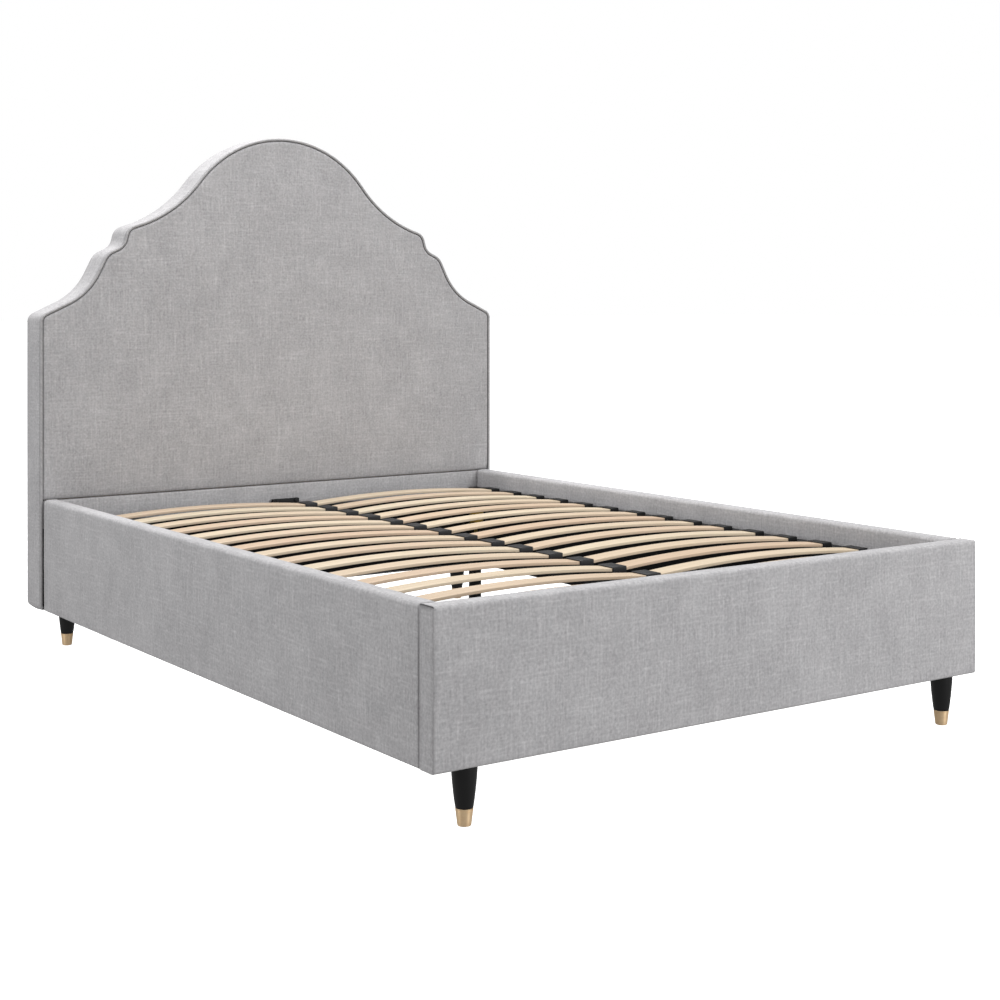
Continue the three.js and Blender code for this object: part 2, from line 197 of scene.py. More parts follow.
@dataclass
class Surface:
    """Points and faces of one piece while it is put together from rings of points."""

    points: list[Array] = field(default_factory=list)
    faces: list[tuple[int, ...]] = field(default_factory=list)
    paints: list[int] = field(default_factory=list)
    maps: list[Array] = field(default_factory=list)
    seams: list[Array] = field(default_factory=list)
    count: int = 0

    def add_rings(
        self,
        rings: Array,
        closed_path: bool = False,
        paint: int = 0,
        flat_map: Array | None = None,
        seam: Array | float = 0.0,
    ) -> "Surface":
        """Joins closed rings of points into a skin of four-sided faces.

        Args:
            rings: Points as (ring, point round the ring, axis).
            closed_path: Whether the last ring joins the first. Otherwise both are filled.
            paint: Material number.
            flat_map: Cloth coordinates as (ring, point round the ring plus one, 2), or none.
            seam: Painted shade of a seam's crease at each point, from 0 to 1, alone or as (ring, point).

        Returns:
            This surface.
        """
        ring_count, size = rings.shape[:2]
        strips = ring_count if closed_path else ring_count - 1
        row, column = np.arange(strips)[:, None], np.arange(size)[None, :]
        after_row, after_column = (row + 1) % ring_count, (column + 1) % size
        corners = [row * size + column, row * size + after_column]
        corners += [after_row * size + after_column, after_row * size + column]
        quads = np.stack([np.broadcast_to(c, (strips, size)) for c in corners], axis=2)
        self.faces += (quads.reshape(-1, 4) + self.count).tolist()
        if flat_map is not None:
            ring_map = [flat_map[row, column], flat_map[row, column + 1]]
            ring_map += [flat_map[after_row, column + 1], flat_map[after_row, column]]
            self.maps.append(np.stack(ring_map, axis=2).reshape(-1, 2))
        depth = np.broadcast_to(np.asarray(seam, dtype=float), (ring_count, size))
        self.points.append(rings.reshape(-1, 3))
        self.seams.append(depth.ravel())
        base = self.count
        self.count += ring_count * size
        for ring in () if closed_path else (0, ring_count - 1):
            start = base + ring * size
            self.points.append(rings[ring].mean(axis=0)[None, :])
            self.seams.append(depth[ring].mean(keepdims=True))
            self.faces += [(start + j, start + (j + 1) % size, self.count) for j in range(size)]
            if flat_map is not None:
                middle = flat_map[ring].mean(axis=0)
                fan = [[flat_map[ring, j], flat_map[ring, j + 1], middle] for j in range(size)]
                self.maps.append(np.array(fan).reshape(-1, 2))
            self.count += 1
        self.paints += [paint] * (len(self.faces) - len(self.paints))
        return self

    def finish(self, name: str, materials: Sequence[Material], sharp: float = 38.0) -> Piece:
        """Turns the surface into an object with its faces out and its cloth coordinates in metres.

        Where no coordinates were given, each face takes the two axes that it lies along.

        Args:
            name: The piece's name.
            materials: Materials by number.
            sharp: Edges that turn by more degrees than this are shaded as creases.

        Returns:
            The new object.
        """
        mesh = bpy.data.meshes.new(name)
        mesh.from_pydata(np.concatenate(self.points).tolist(), [], self.faces)
        mesh.polygons.foreach_set("material_index", self.paints)
        # Each point keeps its seam value: painted shade that the cloth's material reads.
        seams = mesh.attributes.new("seam", "FLOAT", "POINT")
        seams.data.foreach_set("value", np.concatenate(self.seams).astype(np.float32))
        layer = mesh.uv_layers.new(name="cloth")
        if self.maps:
            layer.data.foreach_set("uv", np.concatenate(self.maps).ravel())
        body = bmesh.new()
        body.from_mesh(mesh)
        bmesh.ops.remove_doubles(body, verts=body.verts, dist=2e-6)
        bmesh.ops.dissolve_degenerate(body, edges=body.edges, dist=1e-6)
        bmesh.ops.recalc_face_normals(body, faces=body.faces)
        body.to_mesh(mesh)
        body.free()
        if not self.maps:
            map_by_direction(mesh)
        mesh.shade_smooth()
        mesh.set_sharp_from_angle(angle=math.radians(sharp))
        for material in materials:
            mesh.materials.append(material)
        piece = bpy.data.objects.new(name, mesh)
        bpy.context.scene.collection.objects.link(piece)
        return piece


def map_by_direction(mesh: Mesh) -> None:
    """Gives each face cloth coordinates along the two axes that it faces least, in metres."""
    places = np.empty(len(mesh.vertices) * 3)
    mesh.vertices.foreach_get("co", places)
    places = places.reshape(-1, 3)
    normals = np.empty(len(mesh.polygons) * 3)
    mesh.polygons.foreach_get("normal", normals)
    sizes = np.empty(len(mesh.polygons), dtype=int)
    mesh.polygons.foreach_get("loop_total", sizes)
    corner_vertex = np.empty(len(mesh.loops), dtype=int)
    mesh.loops.foreach_get("vertex_index", corner_vertex)
    facing = np.repeat(np.abs(normals.reshape(-1, 3)).argmax(axis=1), sizes)
    across = np.array([1, 0, 0])[facing]
    along = np.array([2, 2, 1])[facing]
    corner = np.arange(len(corner_vertex))
    place = places[corner_vertex]
    flat = np.stack([place[corner, across], place[corner, along]], axis=1)
    mesh.uv_layers["cloth"].data.foreach_set("uv", flat.ravel())


def add_value(piece: Piece, name: str, values: Array) -> None:
    """Stores one number for each vertex of a piece, for its material to read."""
    layer = piece.data.attributes.new(name, "FLOAT", "POINT")
    layer.data.foreach_set("value", np.ascontiguousarray(values, dtype=np.float32))


def vertices_of(piece: Piece) -> Array:
    """The places of a piece's vertices in three columns."""
    places = np.empty(len(piece.data.vertices) * 3)
    piece.data.vertices.foreach_get("co", places)
    return places.reshape(-1, 3)


def place_piece(piece: Piece, slot: Slot, *nodes: str) -> Piece:
    """Fastens a finished piece to the bed and hides the nodes it stands for."""
    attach(piece, BODY)
    if nodes:
        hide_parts(*nodes)
    LOG.info("%s: %d faces", piece.name, len(piece.data.polygons))
    return piece


# ----------------------------------------------------------------------------------------------
# Finishes
# ----------------------------------------------------------------------------------------------


def linear(colour: str) -> tuple[float, float, float, float]:
    """Turns an sRGB hex colour to linear light.

    Args:
        colour: Six hex digits after a hash sign.

    Returns:
        Red, green, blue and an alpha of one.
    """
    channels = [int(colour[i : i + 2], 16) / 255 for i in (1, 3, 5)]
    light = [c / 12.92 if c <= 0.04045 else ((c + 0.055) / 1.055) ** 2.4 for c in channels]
    return (light[0], light[1], light[2], 1.0)


def add_node(
    tree: Tree, kind: str, settings: dict | None = None, links: dict | None = None
) -> Node:
    """Adds a node with its settings and links.

    Args:
        tree: The node tree.
        kind: The node's type.
        settings: Values by the name or number of an input, or by the name of a property.
        links: Output sockets by the name or number of the input that they go to.

    Returns:
        The new node.
    """
    node = tree.nodes.new(kind)
    for key, value in (settings or {}).items():
        if isinstance(key, int) or key in node.inputs:
            node.inputs[key].default_value = value
        else:
            setattr(node, key, value)
    for key, socket in (links or {}).items():
        tree.links.new(socket, node.inputs[key])
    return node


def start_material(name: str, settings: dict) -> tuple[Material, Tree, Node]:
    """Makes a material with one Principled shader.

    Args:
        name: The material's name.
        settings: Values for the shader's own sockets.

    Returns:
        The material, its node tree and the shader.
    """
    material = bpy.data.materials.new(name)
    material.use_nodes = True
    tree = material.node_tree
    shader = tree.nodes["Principled BSDF"]
    for key, value in settings.items():
        shader.inputs[key].default_value = value
    return material, tree, shader


def streaks(tree: Tree, source: Socket, period: tuple, seed: float, detail: float = 1.0) -> Socket:
    """Noise drawn out by a different length along each axis.

    Args:
        tree: The node tree.
        source: The coordinates, in metres.
        period: Length of one streak along each axis, in metres, and zero to leave an axis out.
        seed: Where the noise starts.
        detail: Octaves of finer noise.

    Returns:
        The noise's value socket.
    """
    scale = tuple(1 / p if p else 0.0 for p in period)
    start = (seed, seed * 1.7, seed * 0.3)
    stretch = {"operation": "MULTIPLY_ADD", 1: scale, 2: start}
    stretched = add_node(tree, "ShaderNodeVectorMath", stretch, {0: source}).outputs[0]
    settings = {"noise_dimensions": "3D", "Scale": 1.0, "Detail": detail, "Roughness": 0.5}
    return add_node(tree, "ShaderNodeTexNoise", settings, {"Vector": stretched}).outputs[0]


def weighted_sum(tree: Tree, terms: Sequence[tuple[Socket, float]], start: float) -> Socket:
    """Adds value sockets, each times its weight, to a starting number and returns the socket."""
    total: Socket | None = None
    for socket, weight in terms:
        settings = {"operation": "MULTIPLY_ADD", 1: weight, 2: start}
        links = {0: socket}
        if total is not None:
            links[2] = total
        total = add_node(tree, "ShaderNodeMath", settings, links).outputs[0]
    return total


def blend_colours(tree: Tree, share: Socket, low, high) -> Socket:
    """Mixes two colours or colour sockets by a share and returns the mixed colour's socket."""
    settings: dict = {"data_type": "RGBA"}
    links = {0: share}
    for index, colour in ((6, low), (7, high)):
        if isinstance(colour, str):
            settings[index] = linear(colour)
        else:
            links[index] = colour
    return add_node(tree, "ShaderNodeMix", settings, links).outputs[2]


def colour_with(tree: Tree, shader: Node, colour: Socket) -> None:
    """Gives a shader its base colour."""
    tree.links.new(colour, shader.inputs["Base Color"])


def raise_surface(tree: Tree, shader: Node, height: Socket, depth: float) -> None:
    """Bumps the shader by a height socket from zero to one, over a depth in metres."""
    bump = add_node(tree, "ShaderNodeBump", {"Strength": 1.0, "Distance": depth}, {"Height": height})
    tree.links.new(bump.outputs[0], shader.inputs["Normal"])


@dataclass(frozen=True)
class LinenCloth:
    """Linen-look polyester upholstery cloth in a plain weave of uneven yarns.

    The yarn is matt and slightly hairy, so the cloth is rough with a little sheen at grazing angles.
    A soft mottle comes from the hairs, and the thick stretches of yarn (slubs) show as short light
    dashes both ways, more of them upright. Where the cloth dives into a seam it is darkened towards
    seam_shade: painted shade for the crease.
    """

    name: str = "linen_cloth"
    dark: str = "#8d8c8e"
    light: str = "#cac9ca"
    warm: str = "#b4a9ac"
    cool: str = "#a6aaac"
    tint: float = 0.14
    seam_shade: str = "#2f2e30"
    thread: float = 2.4 * MM  # real yarns lie 0.9 mm apart, drawn coarser so that they show
    fluff: float = 6.5 * MM
    slub_width: float = 5 * MM
    slub_length: float = 60 * MM

    def slubs(self, tree: Tree, place: Socket, period: tuple, seed: float) -> Socket:
        """Thick stretches of yarn as a value socket, zero between them.

        Args:
            tree: The node tree.
            place: The cloth coordinates.
            period: Length of the noise along each axis.
            seed: Where the noise starts.

        Returns:
            The value socket.
        """
        noise = streaks(tree, place, (*period, 0), seed, 0.5)
        peaks = add_node(tree, "ShaderNodeMapRange", {"From Min": 0.52, "From Max": 0.80}, {"Value": noise})
        return peaks.outputs[0]

    def build(self) -> Material:
        """Makes the material."""
        settings = {"Roughness": 0.95, "Specular IOR Level": 0.15}
        settings |= {"Sheen Weight": 0.08, "Sheen Roughness": 0.6}
        material, tree, shader = start_material(self.name, settings)
        place = add_node(tree, "ShaderNodeUVMap", {"uv_map": "cloth"}).outputs[0]
        thin, long = self.slub_width, self.slub_length
        upright = self.slubs(tree, place, (thin, long), 3.0)
        level = self.slubs(tree, place, (long, thin), 11.0)
        thick = self.slubs(tree, place, (1.6 * thin, 2.5 * long), 23.0)
        dents = self.slubs(tree, place, (thin, 0.4 * long), 31.0)
        fluff = streaks(tree, place, (self.fluff, self.fluff, 0), 47.0, 2.0)
        runs = streaks(tree, place, (0.9 * thin, 2.6 * thin, 0), 53.0, 1.0)
        cloud = streaks(tree, place, (90 * MM, 120 * MM, 0), 61.0, 1.0)
        mottle = [(fluff, 1.00), (runs, 0.14), (cloud, 0.34)]
        terms = [*mottle, (upright, 0.21), (level, 0.21), (thick, 0.12), (dents, -0.17)]
        tone = weighted_sum(tree, terms, 0.485 - 0.5 * sum(weight for _, weight in mottle))
        turn = 2 * math.pi / self.thread
        scale = {"operation": "MULTIPLY", 1: (turn, turn, 0)}
        crossed = add_node(tree, "ShaderNodeVectorMath", scale, {0: place}).outputs[0]
        split = add_node(tree, "ShaderNodeSeparateXYZ", {}, {0: crossed}).outputs
        waves = [add_node(tree, "ShaderNodeMath", {"operation": "SINE"}, {0: split[i]}) for i in (0, 1)]
        crossing = {i: wave.outputs[0] for i, wave in enumerate(waves)}
        weave = add_node(tree, "ShaderNodeMath", {"operation": "MULTIPLY"}, crossing).outputs[0]
        shade = weighted_sum(tree, [(weave, 0.07), (tone, 1.0)], 0.0)
        grey = blend_colours(tree, shade, self.dark, self.light)
        tint_share = streaks(tree, place, (1.6 * thin, 0.6 * long, 0), 71.0)
        tint = blend_colours(tree, tint_share, self.warm, self.cool)
        mix = {"data_type": "RGBA", 0: self.tint}
        tinted = add_node(tree, "ShaderNodeMix", mix, {6: grey, 7: tint}).outputs[2]
        # Painted shade: the seam value darkens the cloth towards seam_shade in the creases of seams.
        seam = add_node(tree, "ShaderNodeAttribute", {"attribute_name": "seam"}).outputs["Fac"]
        colour_with(tree, shader, blend_colours(tree, seam, tinted, self.seam_shade))
        height = weighted_sum(tree, [(weave, 0.15), (tone, 0.6)], 0.2)
        raise_surface(tree, shader, height, 0.4 * MM)
        return material


@dataclass(frozen=True)
class PipingCloth:
    """The same cloth cut on the bias and wrapped tight round a cord.

    The weave runs slanting round the cord, so the dashes become short twisted marks.
    """

    name: str = "piping_cloth"
    dark: str = "#8b8a8b"
    light: str = "#bdbcbd"
    seam_shade: str = "#262527"
    mark: float = 4 * MM

    def build(self) -> Material:
        """Makes the material."""
        settings = {"Roughness": 0.95, "Sheen Weight": 0.08, "Specular IOR Level": 0.15}
        material, tree, shader = start_material(self.name, settings)
        place = add_node(tree, "ShaderNodeUVMap", {"uv_map": "cloth"}).outputs[0]
        bias = {"rotation_type": "Z_AXIS", "Angle": math.radians(45)}
        turned = add_node(tree, "ShaderNodeVectorRotate", bias, {"Vector": place}).outputs[0]
        marks = streaks(tree, turned, (self.mark, 3 * self.mark, 0), 5.0, 2.0)
        grey = blend_colours(tree, marks, self.dark, self.light)
        # Painted shade: the seam value darkens the cord towards seam_shade in the grooves beside it.
        seam = add_node(tree, "ShaderNodeAttribute", {"attribute_name": "seam"}).outputs["Fac"]
        colour_with(tree, shader, blend_colours(tree, seam, grey, self.seam_shade))
        raise_surface(tree, shader, marks, 0.3 * MM)
        return material


@dataclass(frozen=True)
class BentBeech:
    """Laminated beech veneers bent in a press and coated with thin clear lacquer.

    Fine straight grain runs along the slat with short dark flecks, the glued veneers show as lines
    on the long edges, and the lacquer gives a low gloss. Each slat has a tone of its own.
    """

    name: str = "bent_beech"
    cream: str = "#dccdb4"
    pink: str = "#ccb198"
    line: str = "#a08762"
    grain_width: float = 1.6 * MM
    grain_length: float = 220 * MM
    plies: float = 5.0

    def build(self) -> Material:
        """Makes the material."""
        settings = {"Roughness": 0.48, "Coat Weight": 0.12, "Coat Roughness": 0.35}
        material, tree, shader = start_material(self.name, settings)
        place = add_node(tree, "ShaderNodeTexCoord").outputs["Object"]
        tone = add_node(tree, "ShaderNodeAttribute", {"attribute_name": "tone"}).outputs["Fac"]
        ply = add_node(tree, "ShaderNodeAttribute", {"attribute_name": "ply"}).outputs["Fac"]
        width, length = self.grain_width, self.grain_length
        grain = streaks(tree, place, (length, width, 4 * width), 2.0, 3.0)
        flecks = streaks(tree, place, (8 * MM, 0.9 * MM, 2 * MM), 9.0)
        bands = streaks(tree, place, (3 * length, 9 * MM, 9 * MM), 17.0)
        base = blend_colours(tree, tone, self.cream, self.pink)
        count = {"operation": "MULTIPLY", 1: self.plies * 2 * math.pi}
        layers = add_node(tree, "ShaderNodeMath", count, {0: ply}).outputs[0]
        lines = add_node(tree, "ShaderNodeMath", {"operation": "COSINE"}, {0: layers}).outputs[0]
        shade = weighted_sum(tree, [(grain, 0.7), (flecks, 0.3), (bands, 0.4), (lines, 0.10)], -0.62)
        limited = add_node(tree, "ShaderNodeClamp", {}, {0: shade}).outputs[0]
        colour_with(tree, shader, blend_colours(tree, limited, base, self.line))
        raise_surface(tree, shader, grain, 0.08 * MM)
        return material


@dataclass(frozen=True)
class Pattern:
    """Drawn-out noise: a streak's length along each axis, where it starts, and its octaves."""

    period: tuple[float, float, float]
    seed: float
    detail: float

    def add(self, tree: Tree, place: Socket) -> Socket:
        """Adds the noise to a tree and returns its value socket."""
        return streaks(tree, place, self.period, self.seed, self.detail)


@dataclass(frozen=True)
class HardFinish:
    """A hard surface whose two shades drift into each other, and which may have a fine relief."""

    name: str
    base: str
    second: str
    settings: dict[str, float]
    drift: Pattern
    relief: Pattern | None = None
    depth: float = 0.0

    def build(self) -> Material:
        """Makes the material."""
        material, tree, shader = start_material(self.name, self.settings)
        place = add_node(tree, "ShaderNodeTexCoord").outputs["Object"]
        share = self.drift.add(tree, place)
        colour_with(tree, shader, blend_colours(tree, share, self.base, self.second))
        if self.relief:
            raise_surface(tree, shader, self.relief.add(tree, place), self.depth)
        return material


# Steel tube and plate under a black powder coat, which bakes to a fine orange-peel skin.
POWDER_COATED_STEEL = HardFinish(
    name="powder_coated_steel",
    base="#050506",
    second="#0b0b0d",
    settings={"Roughness": 0.5, "Specular IOR Level": 0.25},
    drift=Pattern((60 * MM,) * 3, 6.0, 2.0),
    relief=Pattern((1.4 * MM,) * 3, 1.0, 2.0),
    depth=0.06 * MM,
)

# Injection-moulded nylon with a fine spark texture: a soft dark grey with a dull gloss, and flow marks.
MOULDED_NYLON = HardFinish(
    name="moulded_nylon",
    base="#161618",
    second="#222225",
    settings={"Roughness": 0.5, "Specular IOR Level": 0.35},
    drift=Pattern((14 * MM, 30 * MM, 14 * MM), 8.0, 1.0),
    relief=Pattern((0.8 * MM,) * 3, 4.0, 1.0),
    depth=0.05 * MM,
)

# The same nylon coloured black.
BLACK_NYLON = replace(MOULDED_NYLON, name="black_nylon", base="#070708", second="#0e0e10")

# Turned beech stained black under satin lacquer: the grain still shows as faint upright lines.
UPRIGHT_GRAIN = Pattern((1.6 * MM, 1.6 * MM, 40 * MM), 3.0, 3.0)
BLACK_LACQUERED_WOOD = HardFinish(
    name="black_lacquered_wood",
    base="#060606",
    second="#0d0c0d",
    settings={"Roughness": 0.4, "Specular IOR Level": 0.35, "Coat Weight": 0.15, "Coat Roughness": 0.25},
    drift=UPRIGHT_GRAIN,
    relief=UPRIGHT_GRAIN,
    depth=0.05 * MM,
)

# Spun brass cup under satin lacquer: warm pinkish gold with fine level lines. The lines run round the
# cup, so they draw its highlight out upright, and the lacquer scatters a part of the light.
BRUSHED_BRASS = HardFinish(
    name="brushed_brass",
    base="#f6dab1",
    second="#e3bf94",
    settings={"Metallic": 0.5, "Roughness": 0.42, "Anisotropic": 0.8, "Anisotropic Rotation": 0.25},
    drift=Pattern((9 * MM,) * 3, 13.0, 2.0),
    relief=Pattern((30 * MM, 30 * MM, 0.5 * MM), 2.0, 2.0),
    depth=0.03 * MM,
)

# Rolled steel bolts and staples with a bright zinc plate, slightly dulled in patches.
BRIGHT_STEEL = HardFinish(
    name="bright_steel",
    base="#c3c5c8",
    second="#96989c",
    settings={"Metallic": 1.0, "Roughness": 0.3},
    drift=Pattern((4 * MM,) * 3, 2.0, 2.0),
)

# Sawn softwood, unpolished: straight upright grain in two tones.
PINE_GRAIN = Pattern((6 * MM, 6 * MM, 0.3), 5.0, 4.0)
SAWN_PINE = HardFinish(
    name="sawn_pine",
    base="#dcc296",
    second="#b98f58",
    settings={"Roughness": 0.8},
    drift=PINE_GRAIN,
    relief=PINE_GRAIN,
    depth=0.2 * MM,
)

# Veneered board, unpolished: the grain of its face veneer lies level.
VENEER_GRAIN = Pattern((0.25, 5 * MM, 5 * MM), 5.0, 4.0)
PLYWOOD = replace(
    SAWN_PINE, name="plywood", base="#cdb084", second="#a98453", drift=VENEER_GRAIN, relief=VENEER_GRAIN
)


@dataclass(frozen=True)
class YellowZinc:
    """Pressed steel plated with yellow-passivated zinc: gold with drifting greenish and pink clouds."""

    name: str = "yellow_zinc"
    gold: str = "#f0d36c"
    green: str = "#cfd07c"
    pink: str = "#e8b67c"

    def build(self) -> Material:
        """Makes the material."""
        material, tree, shader = start_material(self.name, {"Metallic": 0.85, "Roughness": 0.45})
        place = add_node(tree, "ShaderNodeTexCoord").outputs["Object"]
        first = streaks(tree, place, (12 * MM,) * 3, 2.0, 2.0)
        second = streaks(tree, place, (19 * MM,) * 3, 12.0, 2.0)
        warm = blend_colours(tree, first, self.gold, self.pink)
        part = add_node(tree, "ShaderNodeMath", {"operation": "MULTIPLY", 1: 0.7}, {0: second}).outputs[0]
        colour_with(tree, shader, blend_colours(tree, part, warm, self.green))
        return material


@dataclass(frozen=True)
class NonWovenCloth:
    """Spun-bonded polypropylene lining with its square grid of point welds, matt and slightly hairy."""

    name: str = "black_lining"
    base: str = "#0b0b0c"
    fibre: str = "#18181a"
    weld_pitch: float = 3 * MM  # real welds lie 1 mm apart, drawn coarser so that they show

    def build(self) -> Material:
        """Makes the material."""
        material, tree, shader = start_material(self.name, {"Roughness": 0.9, "Specular IOR Level": 0.15})
        place = add_node(tree, "ShaderNodeUVMap", {"uv_map": "cloth"}).outputs[0]
        scale = {"operation": "SCALE", "Scale": 1 / self.weld_pitch}
        scaled = add_node(tree, "ShaderNodeVectorMath", scale, {0: place}).outputs[0]
        grid = {"Scale": 1.0, "Randomness": 0.0}
        welds = add_node(tree, "ShaderNodeTexVoronoi", grid, {"Vector": scaled}).outputs[0]
        fibres = streaks(tree, place, (2 * MM, 2 * MM, 0), 3.0, 3.0)
        colour_with(tree, shader, blend_colours(tree, fibres, self.base, self.fibre))
        height = weighted_sum(tree, [(welds, 0.5), (fibres, 0.5)], 0.0)
        raise_surface(tree, shader, height, 0.15 * MM)
        return material


class Finishes:
    """Every material of the bed, made once."""

    def __init__(self) -> None:
        """Makes the materials."""
        self.linen: Material = LinenCloth().build()
        self.piping: Material = PipingCloth().build()
        self.beech: Material = BentBeech().build()
        self.steel: Material = POWDER_COATED_STEEL.build()
        self.nylon: Material = MOULDED_NYLON.build()
        self.black_nylon: Material = BLACK_NYLON.build()
        self.lacquer: Material = BLACK_LACQUERED_WOOD.build()
        self.brass: Material = BRUSHED_BRASS.build()
        self.zinc: Material = YellowZinc().build()
        self.bright: Material = BRIGHT_STEEL.build()
        self.lining: Material = NonWovenCloth().build()
        self.dust_cloth: Material = NonWovenCloth("grey_dust_cloth", "#3a3a3c", "#4a4a4d").build()
        self.pine: Material = SAWN_PINE.build()
        self.plywood: Material = PLYWOOD.build()


# ----------------------------------------------------------------------------------------------
# Headboard
# ----------------------------------------------------------------------------------------------


@dataclass(frozen=True)
class Run:
    """One stretch of the headboard's edge: a straight, or an arc that turns to a slope.

    A slope is in degrees below level, and an arc of negative radius is hollow.
    """

    length: float = 0.0
    radius: float = 0.0
    slope: float = 0.0


ARCH = Run(radius=0.382, slope=52)
SWEEP_OUT_OF_ARCH = Run(radius=-0.420, slope=18)
UPPER_STEP = (Run(length=0.018), Run(radius=0.042, slope=75), Run(length=0.014))
NOTCH = (Run(radius=-0.042, slope=25), Run(length=0.020))
LOWER_STEP = (Run(radius=0.058, slope=63), Run(length=0.045))
SHOULDER = (Run(radius=-0.200, slope=25), Run(length=0.077159), Run(radius=0.030, slope=90))
CROWN = (ARCH, SWEEP_OUT_OF_ARCH, *UPPER_STEP, *NOTCH, *LOWER_STEP, *SHOULDER)


@dataclass(frozen=True)
class HeadboardEdge:
    """The headboard's outline seen from the front, which every layer follows at its own inset."""

    half_width: float
    apex: float
    bottom: float
    corner: float = 18 * MM
    arc_step: float = math.radians(2.6)
    straight_step: float = 22 * MM

    def half(self, inset: float) -> tuple[Array, Array]:
        """The right half, from the top of the arch down the side to the middle of the bottom.

        Each arc is its start plus (radius less inset) times the change of (sine, minus cosine) of the
        slope, so that loops at different insets are parallel and have the same count of points.

        Args:
            inset: How far the loop lies inside the outline.

        Returns:
            The points in X and Z, and each point's slope in radians.
        """
        low = self.bottom + max(self.corner, inset + 1 * MM)
        points = [np.array([[0.0, self.apex - inset]])]
        slopes = [np.zeros(1)]
        runs = [*CROWN, None, Run(radius=low - self.bottom, slope=180)]
        for run in runs:
            start, slope = points[-1][-1], slopes[-1][-1]
            if run is None or run.length:
                length = start[1] - low if run is None else run.length
                nominal = self.apex - self.bottom if run is None else length
                steps = max(2, round(nominal / self.straight_step))
                share = np.linspace(0, 1, steps + 1)[1:, None]
                points.append(start + share * length * np.array([math.cos(slope), -math.sin(slope)]))
                slopes.append(np.full(steps, slope))
                continue
            turn = math.radians(run.slope) - slope
            steps = max(3, round(abs(turn) / self.arc_step))
            angle = slope + turn * np.linspace(0, 1, steps + 1)[1:]
            change = np.stack([np.sin(angle) - math.sin(slope), np.cos(angle) - math.cos(slope)], axis=1)
            points.append(start + (run.radius - inset) * change)
            slopes.append(angle)
        end = points[-1][-1]
        steps = round(self.half_width / self.straight_step)
        share = np.linspace(0, 1, steps + 1)[1:, None]
        points.append(end * (1 - share) + np.array([0.0, end[1]]) * share)
        slopes.append(np.full(steps, math.pi))
        return np.concatenate(points), np.concatenate(slopes)

    def loop(self, inset: float) -> Array:
        """The whole outline at an inset as a closed loop in X and Z, from the arch's top clockwise."""
        right, _ = self.half(inset)
        left = right[-2:0:-1] * np.array([-1.0, 1.0])
        return np.concatenate([right, left])

    def ring(self, inset: float, depth: float) -> Array:
        """The loop at an inset, set up at one Y."""
        flat = self.loop(inset)
        return np.stack([flat[:, 0], np.full(len(flat), depth), flat[:, 1]], axis=1)


